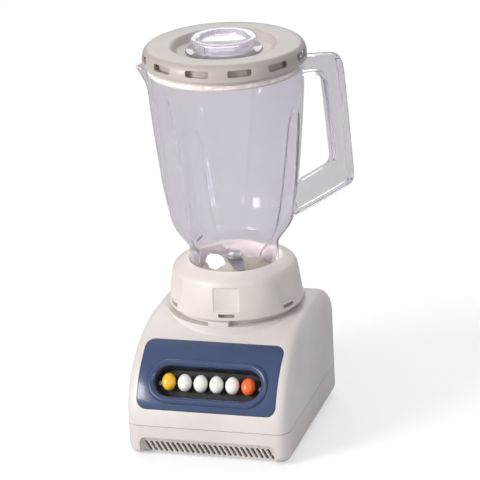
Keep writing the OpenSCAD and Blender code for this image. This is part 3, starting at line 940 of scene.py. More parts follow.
@dataclass
class Base(Assembly):
    """The motor base: housing, pan with its vent, and feet."""

    finishes: Finishes
    half_w: float = 0.0
    front: float = 0.0
    rear: float = 0.0
    parting: float = 0.0
    seat: float = 0.0
    nose_z: float = 36 * MM
    nose_back: float = 15 * MM
    rear_round: float = 26 * MM
    edge_round: float = 11 * MM
    wall: float = 3 * MM
    ring_r: float = 52.2 * MM
    ring_in_r: float = 49.8 * MM
    boss_r: float = 60.2 * MM
    deck_z: float = 97 * MM
    shaft_hole_r: float = 17 * MM
    tabs: int = 3
    tab_w: float = 18 * MM
    tab_h: float = 4 * MM
    lean: float = 37.0
    window: tuple[float, float, float] = (122 * MM, 63 * MM, 8 * MM)
    window_low: float = 24.5 * MM
    vent_count: int = 24
    vent_pitch: float = 4.7 * MM
    vent_slot: tuple[float, float] = (2.7 * MM, 11.5 * MM)
    vent_tilt: float = 20.0
    vent_half: float = 60 * MM
    vent_top: float = 19 * MM
    vent_step: float = 2.5 * MM
    vent_back: float = 9 * MM

    def __post_init__(self) -> None:
        """Takes the driving sizes from the CAD solids."""
        low, high = span("bottom_pan")
        self.half_w, self.front, self.rear = high[0], -low[1], high[1]
        self.pan_z = low[2]
        self.parting = span("upper_housing")[0][2]
        self.seat = span("collar")[0][2] - self.tab_h - 0.4 * MM
        self.nose = (self.front - self.nose_back, self.seat - self.nose_z)
        turn = math.radians(self.lean)
        self.face_turn = math.atan2(self.nose[1] * math.sin(turn), self.nose[0] * math.cos(turn))

    @property
    def face(self) -> Matrix:
        """The control face's own frame: +X right, +Y up the slope, +Z outwards.

        Returns:
            The frame as a matrix.
        """
        place = (0.0, -self.nose_back - self.nose[0] * math.cos(self.face_turn),
                 self.nose_z + self.nose[1] * math.sin(self.face_turn))
        return Matrix.Translation(place) @ Matrix.Rotation(math.radians(90 - self.lean), 4, "X")

    def nose_points(self, inset: float, steps: int = 40, first: float = 180.0) -> list[Point]:
        """Points of the curved front from its foot to the top, drawn in by an inset."""
        size = (self.nose[0] - inset, self.nose[1] - inset)
        return arc((-self.nose_back, self.nose_z), size, first, 90, steps)

    def solid(self, name: str, inset: float, low: float, high_cut: float | None = None) -> bpy.types.Object:
        """The base's outer form, drawn in by an inset, with soft edges.

        Args:
            name: The piece's name.
            inset: How far every face is drawn in.
            low: The level of its flat underside.
            high_cut: Where its top is cut flat, or None for the full height.

        Returns:
            The closed solid.
        """
        half, rear, top = self.half_w - inset, self.rear - inset, self.seat - inset
        if high_cut is None:
            side = self.nose_points(inset)
            side += arc((rear - self.rear_round, top - self.rear_round), (self.rear_round,) * 2, 90, 0, 14)
            side += [(rear, low), (inset - self.front, low)]
        else:
            side = [(inset - self.front, high_cut), (rear, high_cut), (rear, low), (inset - self.front, low)]
        piece = extruded(outline(name, [(-half, y, z) for y, z in side]), (2 * half, 0, 0))
        soft = self.edge_round - inset * 0.7
        with editing(piece):
            choose(piece, "edges", lambda e: all(abs(abs(v.co.x) - half) < 1e-6 for v in e.verts)
                   and not all(v.co.z < low + 1e-6 for v in e.verts)
                   and not (high_cut and all(v.co.z > high_cut - 1e-6 for v in e.verts))
                   and abs(e.verts[0].co.x - e.verts[1].co.x) < 1e-6)
            bpy.ops.mesh.bevel(offset=soft, segments=6, profile=0.5, affect="EDGES", clamp_overlap=False)
            bpy.ops.mesh.select_all(action="SELECT")
            bpy.ops.mesh.remove_doubles(threshold=1e-5)
            bpy.ops.mesh.normals_make_consistent(inside=False)
        return piece

    def face_prism(self, grow: float, depth: float = 16 * MM) -> bpy.types.Object:
        """The panel's outline as a prism through the curved face.

        Args:
            grow: How far the outline is grown.
            depth: How far it goes in.

        Returns:
            The prism.
        """
        width, height, corner = self.window
        flat = round_box_points(width + 2 * grow, height + 2 * grow, corner + grow)
        rise = height / 2 - self.window_low
        face = outline("face_prism", [(x, y + rise, -depth) for x, y in flat])
        piece = extruded(face, (0, 0, depth + 14 * MM))
        piece.data.transform(self.face)
        return piece

    def nose_band(self, name: str, outer: float, inner: float, half: float) -> bpy.types.Object:
        """A curved plate that follows the front, from one depth to another below its surface.

        Args:
            name: The piece's name.
            outer: How far it stands proud.
            inner: How deep its back lies.
            half: Half its width.

        Returns:
            The plate.
        """
        over = self.nose_points(-outer, 48, 183)
        under = self.nose_points(inner, 48, 183)
        ring = [(-half, y, z) for y, z in over + under[::-1]]
        return extruded(outline(name, ring), (2 * half, 0, 0))

    def seat_parts(self) -> list[bpy.types.Object]:
        """The round boss, the ring inside it, the deck and the tabs that the collar rests on.

        Returns:
            The solids, to be joined to the housing.
        """
        foot = self.seat - 21 * MM
        rim = 1.2 * MM
        boss = turned("boss", [(self.ring_in_r, foot), (self.boss_r, foot), (self.boss_r, self.seat - rim),
                               *curve_between((self.boss_r, self.seat - rim), (self.boss_r, self.seat),
                                              (self.boss_r - rim, self.seat), 3)[1:],
                               (self.ring_r, self.seat), (self.ring_r, self.seat + 8 * MM),
                               (self.ring_r - 0.7 * MM, self.seat + 9 * MM),
                               (self.ring_in_r + 0.7 * MM, self.seat + 9 * MM),
                               (self.ring_in_r, self.seat + 8 * MM)], 160)
        deck = turned("deck", [(self.shaft_hole_r, self.deck_z - self.wall), (self.ring_in_r + 1 * MM,
                               self.deck_z - self.wall), (self.ring_in_r + 1 * MM, self.deck_z),
                               (self.shaft_hole_r, self.deck_z)], 96)
        tabs = []
        for i in range(self.tabs):
            tab = block(f"tab{i}", (self.ring_r - 1 * MM, -self.tab_w / 2, self.seat - 2 * MM),
                        (self.boss_r - 0.6 * MM, self.tab_w / 2, self.seat + self.tab_h))
            soften(tab, 0.6 * MM, 30, 2)
            tab.data.transform(spin_place(360 / self.tabs * i))
            tabs.append(tab)
        return [boss, deck, *tabs]

    def housing(self) -> bpy.types.Object:
        """The upper shell with its panel window and seat.

        Returns:
            The finished shell.
        """
        shell = self.solid("upper_housing_shell", 0.0, self.parting)
        boss = rod("boss_core", self.boss_r, self.seat - 30 * MM, self.seat, 160)
        cut(shell, boss, "UNION")
        with editing(shell):
            choose(shell, "edges", self.is_boss_foot)
            bpy.ops.mesh.bevel(offset=2.6 * MM, segments=4, profile=0.5, affect="EDGES", clamp_overlap=True)
        cut(shell, self.solid("inner", self.wall, self.parting - 4 * MM))
        well = rod("well", self.ring_in_r, self.deck_z - 20 * MM, self.seat + 4 * MM, 128)
        cut(shell, well)
        band = self.nose_band("rebate", 8 * MM, 1.9 * MM, self.half_w)
        cut(band, self.face_prism(0.35 * MM), "INTERSECT")
        cut(shell, band)
        cut(shell, self.face_prism(-2.5 * MM))
        for part in self.seat_parts():
            cut(shell, part, "UNION")
        shell.name = "upper_housing_shell"
        soften(shell, 0.35 * MM, 50, 2)
        return smooth(shell, 32)

    def is_boss_foot(self, edge: Any) -> bool:
        """Whether an edge lies where the boss meets the curved top.

        Args:
            edge: An edge that is being edited.

        Returns:
            True for an edge to round.
        """
        if not all(abs(v.co.to_2d().length - self.boss_r) < 0.05 * MM for v in edge.verts):
            return False
        if len(edge.link_faces) != 2:
            return False
        level = middle(edge).z
        across = abs(edge.verts[0].co.z - edge.verts[1].co.z) < 2.5 * MM
        sharp = edge.calc_face_angle(0.0) > math.radians(15)
        return across and sharp and self.parting < level < self.seat - 0.4 * MM

    def pan(self) -> bpy.types.Object:
        """The lower shell with corner legs and the leaning slotted vent.

        Returns:
            The finished shell.
        """
        low = self.pan_z
        body = self.solid("bottom_pan_shell", 0.0, low, self.parting - 0.5 * MM)
        with editing(body):
            choose(body, "edges", lambda e: all(v.co.z < low + 1e-6 for v in e.verts)
                   and len(e.link_faces) == 2 and e.calc_face_angle(0.0) > 0.7)
            bpy.ops.mesh.bevel(offset=7.5 * MM, segments=6, profile=0.5, affect="EDGES", clamp_overlap=True)
        inner = self.solid("pan_inner", self.wall, low + self.wall, self.parting + 5 * MM)
        cut(body, inner)
        gap = block("vent_gap", (-self.vent_half, -self.front - 1 * MM, low - 1 * MM),
                    (self.vent_half, -self.front + self.vent_back + 6 * MM, self.vent_top))
        with editing(gap):
            choose(gap, "edges", lambda e: abs(middle(e).z - self.vent_top) < 1e-6
                   and abs(abs(middle(e).x) - self.vent_half) < 1e-6)
            bpy.ops.mesh.bevel(offset=5 * MM, segments=6, profile=0.5, affect="EDGES")
        cut(body, gap)
        wall = self.vent_wall()
        cut(body, wall, "UNION")
        gland = span("cord_gland")
        center = [(a + b) / 2 for a, b in zip(*gland)]
        turn = Matrix.Translation((center[0], self.rear - 10 * MM, center[2])) @ Matrix.Rotation(
            -math.pi / 2, 4, "X")
        cut(body, rod("gland_hole", 7.05 * MM, 0, 20 * MM, 48, place=turn))
        for x in (-1, 1):
            for y in (-self.front + 18 * MM, self.rear - 18 * MM):
                place = Matrix.Translation((x * (self.half_w - 20 * MM), y, 0))
                cut(body, rod("well", 3.6 * MM, low - 1 * MM, 11 * MM, 32, place=place))
        inlet = [rod(f"inlet{ring}_{i}", 1.6 * MM, 0, 8 * MM, 16, place=Matrix.Rotation(
            math.radians(30 * i), 4, "Z") @ Matrix.Translation((ring * MM, 0, 0)))
            for ring in (12, 18, 24, 30) for i in range(12)]
        cut(body, joined(inlet, "inlet"))
        soften(body, 0.4 * MM, 45, 2)
        return smooth(body, 32)

    def vent_wall(self) -> bpy.types.Object:
        """The leaning plate between the legs, pierced by slanted slots.

        Returns:
            The pierced plate.
        """
        low, top = self.pan_z, self.vent_top
        front = -self.front
        side = [(front + self.vent_back, low), (front + self.vent_step, top),
                (front + 0.8 * MM, top + 0.3 * MM), (front + 0.8 * MM, top + 2 * MM),
                (front + self.vent_step + 2.4 * MM, top + 2 * MM),
                (front + self.vent_step + 2.6 * MM, top), (front + self.vent_back + 2.6 * MM, low + 2 * MM),
                (front + self.vent_back + 12 * MM, low + 2 * MM), (front + self.vent_back + 12 * MM, low)]
        half = self.vent_half + 1.5 * MM
        wall = extruded(outline("vent_wall", [(-half, y, z) for y, z in side]), (2 * half, 0, 0))
        for sign in (-1, 1):
            cheek = block("cheek", (sign * self.vent_half - 1.3 * MM, front + 2.4 * MM, low + 1 * MM),
                          (sign * self.vent_half + 1.3 * MM, front + self.vent_back + 6 * MM, top + 1 * MM))
            cut(wall, cheek, "UNION")
        width, height = self.vent_slot
        middle_z = self.pan_z + 7 * MM
        slots = []
        for i in range(self.vent_count):
            x = (i - (self.vent_count - 1) / 2) * self.vent_pitch
            ring = [(-py, 0.0, px) for px, py in stadium_points(height, width, 5)]
            slot = extruded(outline(f"slot{i}", ring), (0, 26 * MM, 0))
            slot.data.transform(Matrix.Translation((x, front - 2 * MM, middle_z)) @ Matrix.Rotation(
                math.radians(-self.vent_tilt), 4, "Y"))
            slots.append(slot)
        return cut(wall, joined(slots, "slots"))

    def foot(self, x: float, y: float) -> bpy.types.Object:
        """One rubber foot with a rolled edge and a plug through the pan.

        Args:
            x: Its place from left to right.
            y: Its place from front to back.

        Returns:
            The foot.
        """
        made = turned("rubber_foot", rounded([(0, 0), (8 * MM, 0), (7.6 * MM, 2 * MM), (2.6 * MM, 2 * MM),
                      (2.6 * MM, 5.2 * MM), (3.5 * MM, 5.2 * MM), (2 * MM, 7.2 * MM), (0, 7.2 * MM)],
                      0.6 * MM, 3, closed=False), 40)
        made.data.transform(Matrix.Translation((x, y, 0)))
        return made

    def build(self) -> None:
        """Makes and places every piece of the base."""
        self.place(self.housing(), "housing_plastic", "base", "upper_housing")
        self.place(self.pan(), "pan_plastic", "base", "bottom_pan")
        low, high = span("rubber_feet")
        across = (low[0] + 8 * MM, high[0] - 8 * MM)
        along = (low[1] + 8 * MM, high[1] - 8 * MM)
        places = [(x, y) for x in across for y in along]
        feet = joined([self.foot(x, y) for x, y in places], "rubber_feet_moulded")
        self.place(smooth(feet, 40), "grey_rubber", "base", "rubber_feet")


@dataclass
class ControlPanel(Assembly):
    """The blue fascia with its ringed recess, and the six buttons."""

    finishes: Finishes
    base: Base
    proud: float = 0.4 * MM
    sunk: float = 1.7 * MM
    slot: tuple[float, float] = (94 * MM, 27 * MM)
    depth: float = 12 * MM
    pitch: float = 14 * MM
    oval: tuple[float, float] = (5.85 * MM, 7.5 * MM)
    keys: tuple[str, ...] = ("yellow", "white_1", "white_2", "white_3", "white_4", "red")

    def stadium(self, grow_w: float, grow_h: float, level: float) -> list[tuple[float, float, float]]:
        """A ring of points round the recess, grown from its size, at a level above the face."""
        flat = stadium_points(self.slot[0] + grow_w, self.slot[1] + grow_h, 20)
        return [(x, y, level) for x, y in flat]

    def fascia(self) -> bpy.types.Object:
        """The curved plate with the moulded ring and the recess with its pierced floor.

        Returns:
            The finished plate.
        """
        half = self.base.window[0] / 2 + 2 * MM
        plate = self.base.nose_band("control_panel_fascia", self.proud, self.sunk, half)
        cut(plate, self.base.face_prism(0.0), "INTERSECT")
        with editing(plate):
            choose(plate, "edges", lambda e: len(e.link_faces) == 2 and e.calc_face_angle(0.0) > 0.9)
            bpy.ops.mesh.bevel(offset=0.45 * MM, segments=2, profile=0.5, affect="EDGES")
        wall = 1.8 * MM
        skirt = -self.depth - wall
        lip = [(2 * wall, -5.0 * MM), (9 * MM, -4.4 * MM), (13.6 * MM, -4 * MM), (13.0 * MM, -0.6 * MM),
               (11.6 * MM, 1.2 * MM), (10 * MM, 2.2 * MM), (8.2 * MM, 2.5 * MM), (6.2 * MM, 2.3 * MM),
               (2.6 * MM, 1.2 * MM), (0.8 * MM, 0.2 * MM)]
        rings = [self.stadium(2 * wall, 2 * wall, skirt), *[self.stadium(g, g * 0.9, z) for g, z in lip]]
        tub = lofted("tub", [*rings, self.stadium(0, 0, -1.2 * MM)], capped=True)
        tub.data.transform(self.base.face)
        cut(plate, tub, "UNION")
        steps = [(0, 0, -self.depth), (0, 0, -1.2 * MM), (0.8 * MM, 0.7 * MM, 0.2 * MM),
                 (3 * MM, 2.7 * MM, 1.5 * MM), (3 * MM, 2.7 * MM, 12 * MM)]
        hollow = lofted("hollow", [self.stadium(*step) for step in steps], capped=True)
        hollow.data.transform(self.base.face)
        cut(plate, hollow)
        holes = [rod("hole", 2.7 * MM, -self.depth - 4 * MM, -self.depth + 2 * MM, 28,
                     place=self.base.face @ Matrix.Translation(((i - 2.5) * self.pitch, 0, 0)))
                 for i in range(len(self.keys))]
        cut(plate, joined(holes, "holes"))
        return smooth(plate, 34)

    def seal(self) -> bpy.types.Object:
        """The black dust seal that lines the recess's floor, with a rolled lip and six holes.

        Returns:
            The finished seal.
        """
        low = -self.depth + 0.02 * MM
        lining = [(0.4 * MM, 0.0), (0.4 * MM, 7.4 * MM), (1.0 * MM, 7.8 * MM), (1.8 * MM, 7.2 * MM),
                  (2.4 * MM, 0.25 * MM)]
        rings = [self.stadium(-inset, -inset, low + rise) for inset, rise in lining]
        sheet = lofted("button_seal", rings, capped=True)
        sheet.data.transform(self.base.face)
        holes = [rod("hole", 2.7 * MM, low - 1 * MM, low + 4 * MM, 28,
                     place=self.base.face @ Matrix.Translation(((i - 2.5) * self.pitch, 0, 0)))
                 for i in range(len(self.keys))]
        cut(sheet, joined(holes, "holes"))
        sheet.name = "button_seal"
        return smooth(sheet, 40)

    def button(self, index: int) -> bpy.types.Object:
        """One egg-shaped button with a narrow skirt and a socket for its plunger.

        Args:
            index: Its place in the row, from the left.

        Returns:
            The button.
        """
        low, top = -7.6 * MM, 2.4 * MM
        wide, tall = self.oval
        profile: list[Point] = [(0.35, low + 4 * MM), (0.35, low), (0.93, low), (0.96, low + 0.5 * MM),
                                (1.0, low + 3 * MM), (1.0, top - 5.6 * MM)]
        profile += [(math.cos(math.radians(a)) ** 0.92 if a < 90 else 0.0,
                     top - 5.6 * MM + 5.6 * MM * math.sin(math.radians(a))) for a in range(9, 91, 9)]
        cap = turned(f"button_{self.keys[index]}_dome", [(0.0, low + 4 * MM), *profile], 48)
        cap.data.transform(Matrix.Diagonal((wide, tall, 1.0, 1.0)))
        cap.data.transform(self.base.face @ Matrix.Translation(((index - 2.5) * self.pitch, 0, 0)))
        return smooth(cap, 40)

    def build(self) -> None:
        """Makes the fascia and the buttons."""
        self.place(self.fascia(), "panel_plastic", "base", "control_panel")
        self.place(self.seal(), "black_rubber", "base")
        for index, key in enumerate(self.keys):
            slot = "button_" + key.split("_")[0]
            self.place(self.button(index), slot, f"key_{key}", f"button_{key}")


@dataclass
class Collar(Assembly):
    """The jar's threaded foot, with finger recesses and small slots."""

    finishes: Finishes
    foot_r: float = 58.2 * MM
    top_r: float = 54.6 * MM
    mouth_r: float = 38.8 * MM
    wall: float = 3 * MM
    recess: tuple[float, float, float] = (23 * MM, 21.5 * MM, 1.6 * MM)
    slot: tuple[float, float] = (14 * MM, 3.2 * MM)
    grips: int = 6
    first_turn: float = 7.0

    def shell(self) -> bpy.types.Object:
        """The spun shell with its recesses and slots.

        Returns:
            The finished shell.
        """
        low, high = (corner[2] for corner in span("collar"))
        height = high - low
        corner = height - 9 * MM
        foot, top, mouth, wall = self.foot_r, self.top_r, self.mouth_r, self.wall
        outer = [(foot - 0.8 * MM, 0.0), (foot, 0.6 * MM), (foot, 2 * MM), (top + 0.2 * MM, corner - 3 * MM)]
        outer += curve_between((top, corner - 2.4 * MM), (top - 0.4 * MM, corner + 3.4 * MM),
                               (top - 4.6 * MM, corner + 5.2 * MM), 7)
        outer += curve_between((mouth + 6 * MM, height - 1.6 * MM), (mouth + 1.4 * MM, height + 0.4 * MM),
                               (mouth + 0.6 * MM, height - 0.5 * MM), 6)
        inner = [(mouth, height - 2.2 * MM), (mouth, 12 * MM + 3.6 * MM), (20 * MM, 12 * MM + 3.6 * MM),
                 (20 * MM, 12 * MM), (mouth + 2.6 * MM, 12 * MM), (mouth + 2.6 * MM, corner + 3 * MM),
                 (top - 8 * MM, corner + 1 * MM), (top - wall, corner - 4 * MM), (foot - wall, 2 * MM),
                 (foot - wall, 0.0)]
        body = turned("collar_shell", [(r, low + z) for r, z in outer + inner], 180)
        taper = math.atan((foot - top) / (corner - 5 * MM))
        wide, tall, deep = self.recess
        for i in range(self.grips):
            turn = self.first_turn + 360 / self.grips * i
            grip = block("grip", (0, -wide / 2, 5.5 * MM), (10 * MM, wide / 2, 5.5 * MM + tall))
            with editing(grip):
                choose(grip, "edges", lambda e: abs(e.verts[0].co.x - e.verts[1].co.x) > 1 * MM)
                bpy.ops.mesh.bevel(offset=1.8 * MM, segments=3, profile=0.5, affect="EDGES")
                choose(grip, "edges", lambda e: all(v.co.x < 1e-6 for v in e.verts))
                bpy.ops.mesh.bevel(offset=1.0 * MM, segments=2, profile=0.5, affect="EDGES")
            spot = spin_place(turn) @ Matrix.Translation((foot - deep, 0, low + 2 * MM))
            grip.data.transform(spot @ Matrix.Rotation(-taper, 4, "Y"))
            cut(body, grip)
            notch = block("notch", (foot - wall - 1 * MM, -self.slot[0] / 2, low + 3 * MM),
                          (foot + 5 * MM, self.slot[0] / 2, low + 3 * MM + self.slot[1]))
            notch.data.transform(spin_place(turn))
            cut(body, notch)
        soften(body, 0.35 * MM, 40, 2)
        return smooth(body, 30)

    def build(self) -> None:
        """Makes and places the collar."""
        self.place(self.shell(), "collar_plastic", "jar_unit", "collar")


@dataclass
class Jar(Assembly):
    """The clear jar with its flutes, spout and one-piece handle."""

    finishes: Finishes
    wall: float = 2.4 * MM
    rim_z: float = 324 * MM
    neck_z: float = 129.4 * MM
    handle_turn: float = 112.0
    flute_turn: float = 77.7
    flute_top: float = 286 * MM
    flute_foot: float = 163 * MM
    flute_deep: float = 5.6 * MM
    handle_w: float = 15 * MM
    spout_turn: float = 14.0
    spout_reach: float = 9 * MM
    spout_rise: float = 24 * MM
    profile: tuple[Point, ...] = (
        (38.4, 129.4), (38.4, 140), (38.4, 150), (38.4, 157.6), (38.6, 159.4), (39.9, 162.0), (42.2, 165.2),
        (45.0, 169.0), (47.8, 172.9), (50.0, 176.4), (51.9, 180.6), (53.2, 185.4), (54.5, 192.5),
        (56.0, 200.0),
        (57.5, 209.0), (58.8, 217.4), (60.0, 229.0), (61.4, 242.0), (62.6, 254.0), (63.8, 266.0),
        (64.6, 275.0), (65.3, 284.0), (66.0, 294.0), (66.6, 304.0), (67.0, 314.0), (67.2, 321.0))

    def radius(self, level: float) -> float:
        """The plain outer radius at a level, before flutes and spout.

        Args:
            level: The height, in metres.

        Returns:
            The radius, in metres.
        """
        points = [(r * MM, z * MM) for r, z in self.profile]
        for (r0, z0), (r1, z1) in zip(points, points[1:]):
            if level <= z1:
                return r0 + (r1 - r0) * (level - z0) / (z1 - z0)
        return points[-1][0]

    def pressed(self, turn: float, level: float) -> float:
        """How far a flute presses the wall in, at a turn in degrees and a level.

        Args:
            turn: The turn, in degrees.
            level: The height, in metres.

        Returns:
            The depth, in metres.
        """
        away = (turn - self.flute_turn + 45) % 90 - 45
        span = (self.flute_top - level) / (self.flute_top - self.flute_foot)
        if not 0 < span < 1.15:
            return 0.0
        half = (8.6 + 8.0 * min(1.0, max(0.0, span))) * MM
        arch = min(1.0, (span * (self.flute_top - self.flute_foot) / (13 * MM)))
        half *= math.sqrt(max(0.0, 1 - (1 - arch) ** 2))
        across = abs(math.radians(away)) * self.radius(level)
        if half < 1e-5 or across > half * 1.18:
            return 0.0
        share = across / half
        deep = self.flute_deep * (0.55 + 0.45 * min(1.0, span * 2.2)) * min(1.0, arch * 1.6 + 0.12)
        fade = min(1.0, max(0.0, (1.13 - span) / 0.10))
        bowl = max(0.0, 1 - share ** 2.2) if share < 1 else 0.0
        return deep * bowl * fade

    def skin(self, name: str, inset: float, low: float, high: float, turns: int = 288) -> bpy.types.Object:
        """A closed solid with the jar's pressed form, drawn in by an inset.

        Args:
            name: The piece's name.
            inset: How far the wall is drawn in.
            low: The lowest level.
            high: The highest level.
            turns: Steps round the turn.

        Returns:
            The closed solid.
        """
        levels = sorted({low, high, *(z * MM for _, z in self.profile if low < z * MM < high)})
        fine = [levels[0]]
        for level in levels[1:]:
            steps = max(1, round((level - fine[-1]) / (3.2 * MM)))
            start = fine[-1]
            fine += [start + (level - start) * (i + 1) / steps for i in range(steps)]
        points = [(0.0, low), *[(self.radius(z) - inset, z) for z in fine], (0.0, high)]
        body = turned(name, points, turns)
        for vertex in body.data.vertices:
            spot = vertex.co
            flat = spot.to_2d()
            if flat.length < 1 * MM:
                continue
            turn = math.degrees(math.atan2(spot.x, -spot.y))
            push = self.pressed(turn, spot.z)
            spot.xy = flat * ((flat.length - push) / flat.length)
            pull = self.spout(turn, spot.z)
            if pull:
                flat = spot.to_2d()
                spot.xy = flat * ((flat.length + pull) / flat.length)
        return body

    def spout(self, turn: float, level: float) -> float:
        """How far the spout pulls the rim out, at a turn and a level.

        Args:
            turn: The turn, in degrees.
            level: The height, in metres.

        Returns:
            The reach, in metres.
        """
        away = abs((turn - self.handle_turn - 180 + 180) % 360 - 180)
        lift = (level - (self.rim_z - self.spout_rise)) / self.spout_rise
        if away > self.spout_turn or lift <= 0:
            return 0.0
        bulge = 0.5 + 0.5 * math.cos(math.pi * away / self.spout_turn)
        return self.spout_reach * bulge * min(1.0, lift) ** 1.8

    def handle_outline(self, inner: bool) -> list[Point]:
        """The handle's outline as (reach, level), outer or the finger opening.

        Args:
            inner: Whether the finger opening is wanted.

        Returns:
            The points, in millimetres.
        """
        if inner:
            return [(60, 304.5), (76.5, 306), (80.5, 303.5), (81.5, 298), (84.2, 262), (86.2, 232),
                    (85.8, 226.5), (82.6, 222.6), (70, 216.0), (56, 209.0), (48, 205.0)]
        return [(60, 322.2), (88, 322.6), (95, 321.6), (99.5, 317.2), (101, 309), (104, 262), (106.4, 216),
                (106.2, 211), (103.4, 205.8), (97, 202.0), (74, 190.0), (52, 179.5)]

    def handle(self) -> bpy.types.Object:
        """The handle as one solid with soft edges and lengthwise ridges.

        Returns:
            The handle's solid.
        """
        outer = [(r * MM, z * MM) for r, z in self.handle_outline(False)]
        inner = [(r * MM, z * MM) for r, z in self.handle_outline(True)]
        flat = rounded(outer, 7 * MM, 5, closed=False) + rounded(inner[::-1], 5 * MM, 4, closed=False)
        half = self.handle_w / 2
        bar = extruded(outline("handle", [(r, -half, z) for r, z in flat]), (0, 2 * half, 0))
        with editing(bar):
            choose(bar, "edges", lambda e: len(e.link_faces) == 2
                   and abs(e.verts[0].co.y - e.verts[1].co.y) < 1e-6 and e.calc_face_angle(0.0) > 0.9)
            bpy.ops.mesh.bevel(offset=3.2 * MM, segments=5, profile=0.5, affect="EDGES", clamp_overlap=True)
        with editing(bar):
            choose(bar, "faces", lambda f: abs(f.normal.y) > 0.99 and f.calc_area() > 4e-4)
            bpy.ops.mesh.inset(thickness=1.2 * MM, depth=0.0, use_even_offset=True)
            bpy.ops.mesh.inset(thickness=0.8 * MM, depth=-2.4 * MM, use_even_offset=True)
        bar.data.transform(spin_place(self.handle_turn))
        return bar

    def build(self) -> None:
        """Makes the jar's body with its real wall thickness."""
        foot = self.neck_z
        body = self.skin("jar_body", 0.0, foot, self.rim_z)
        cut(body, self.handle(), "UNION")
        hollow = self.skin("jar_hollow", self.wall, foot - 2 * MM, self.rim_z + 4 * MM)
        cut(body, hollow)
        soften(body, 0.5 * MM, 50, 3)
        self.place(smooth(body, 40), "jar_clear", "jar_unit", "jar")


@dataclass
class BladeSet(Assembly):
    """The bearing housing, blades and cap nut that show through the jar's neck."""

    finishes: Finishes
    floor_z: float = 120.4 * MM
    blade_z: float = 145 * MM
    reach: float = 27.5 * MM
    thick: float = 1.2 * MM

    def dome(self) -> bpy.types.Object:
        """The white bearing housing with a stepped dome.

        Returns:
            The finished housing.
        """
        points = [(0.0, 124.0), (36.4, 124.0), (37.4, 124.6), (37.6, 126.6), (37.0, 128.2), (33.4, 128.8),
                  (31.6, 130.2), (29.0, 133.6), (25.6, 137.0), (21.4, 140.0), (17.0, 142.0), (12.6, 143.4),
                  (12.0, 144.0), (0.0, 144.0)]
        dome = turned("bearing_dome", [(r * MM, z * MM) for r, z in points], 96)
        stem = rod("stem", 9 * MM, self.floor_z - 2.6 * MM, 126 * MM, 48)
        cut(dome, stem, "UNION")
        bore = rod("bore", 4.1 * MM, 100 * MM, 150 * MM, 40)
        cut(dome, bore)
        ribs = []
        for i in range(6):
            rib = block("rib", (20 * MM, -1 * MM, 127 * MM), (33 * MM, 1 * MM, 131.5 * MM))
            rib.data.transform(Matrix.Rotation(math.radians(60 * i + 12), 4, "Z"))
            ribs.append(rib)
        cut(dome, joined(ribs, "ribs"), "UNION")
        soften(dome, 0.3 * MM, 50, 2)
        return smooth(dome, 35)

    def wing(self, reach: float, tip_turn: float, width: float, name: str) -> bpy.types.Object:
        """One blade arm from the axis outwards, tapering to a ground point and bent at its root.

        Args:
            reach: Length before bending.
            tip_turn: Bend of the outer part in degrees; positive is upwards.
            width: Width at the root.
            name: The piece's name.

        Returns:
            The arm along +X, standing at level 0.
        """
        half = width / 2
        ring = [(-half, -half), (0.36 * reach, -half), (0.42 * reach, -half * 0.92),
                (0.72 * reach, -half * 0.78), (0.95 * reach, -half * 0.30), (reach, half * 0.25),
                (0.97 * reach, half * 0.62),
                (0.72 * reach, half * 0.86), (0.42 * reach, half * 0.95), (0.36 * reach, half), (-half, half)]
        arm = extruded(outline(name, [(x, y, 0.0) for x, y in ring]), (0, 0, self.thick))
        with editing(arm):
            choose(arm, "verts", lambda v: v.co.y < -half * 0.2 and v.co.x > 0.4 * reach and v.co.z > 1e-6)
            bpy.ops.transform.translate(value=(0, 0, -self.thick * 0.85))
        bend = 0.38 * reach
        turn = math.radians(tip_turn)
        for vertex in arm.data.vertices:
            if vertex.co.x > bend:
                along, up = vertex.co.x - bend, vertex.co.z
                vertex.co.x = bend + along * math.cos(turn) - up * math.sin(turn)
                vertex.co.z = along * math.sin(turn) + up * math.cos(turn)
        return arm

    def cross(self, name: str, level: float, turn: float, tilt: float, reach: float) -> bpy.types.Object:
        """A two-armed blade on its spindle.

        Args:
            name: The piece's name.
            level: The height of its underside.
            turn: Its turn about the axis, in degrees.
            tilt: Bend of its arms in degrees; positive is upwards.
            reach: Length of an arm before bending.

        Returns:
            The finished blade.
        """
        one = self.wing(reach, tilt, 12 * MM, name)
        two = copied(one, name, Matrix.Rotation(math.pi, 4, "Z"))
        cut(one, two, "UNION")
        cut(one, rod("hole", 4.05 * MM, -5 * MM, 5 * MM, 40))
        one.data.transform(Matrix.Translation((0, 0, level)) @ Matrix.Rotation(math.radians(turn), 4, "Z"))
        soften(one, 0.12 * MM, 30, 1)
        one.name = name
        return smooth(one, 25)

    def nut(self) -> bpy.types.Object:
        """The cap nut: a hexagon with a round dome.

        Returns:
            The finished nut.
        """
        low = self.blade_z + 2 * self.thick
        nut = rod("cap_nut", 7.4 * MM, low, low + 3.6 * MM, 6)
        points = [(0.0, 3.0), (5.2, 3.0), (5.2, 3.8), (4.4, 5.2), (2.6, 6.1), (0.0, 6.4)]
        dome = turned("nut_dome", [(r * MM, low + z * MM) for r, z in points], 32)
        cut(nut, dome, "UNION")
        cut(nut, rod("thread", 4.05 * MM, low - 1 * MM, low + 4 * MM, 32))
        soften(nut, 0.3 * MM, 35, 2)
        return smooth(nut, 35)

    def build(self) -> None:
        """Makes the pieces of the blade set that show."""
        self.place(self.dome(), "nylon_white", "jar_unit", "bearing_housing")
        upper = self.cross("upper_blade_ground", self.blade_z + self.thick, 25, 41, self.reach)
        self.place(upper, "steel_blade", "blades", "upper_blade")
        lower = self.cross("lower_blade_ground", self.blade_z, 115, -7, self.reach + 2 * MM)
        self.place(lower, "steel_blade", "blades", "lower_blade")
        self.place(self.nut(), "steel_zinc", "blades", "blade_nut")


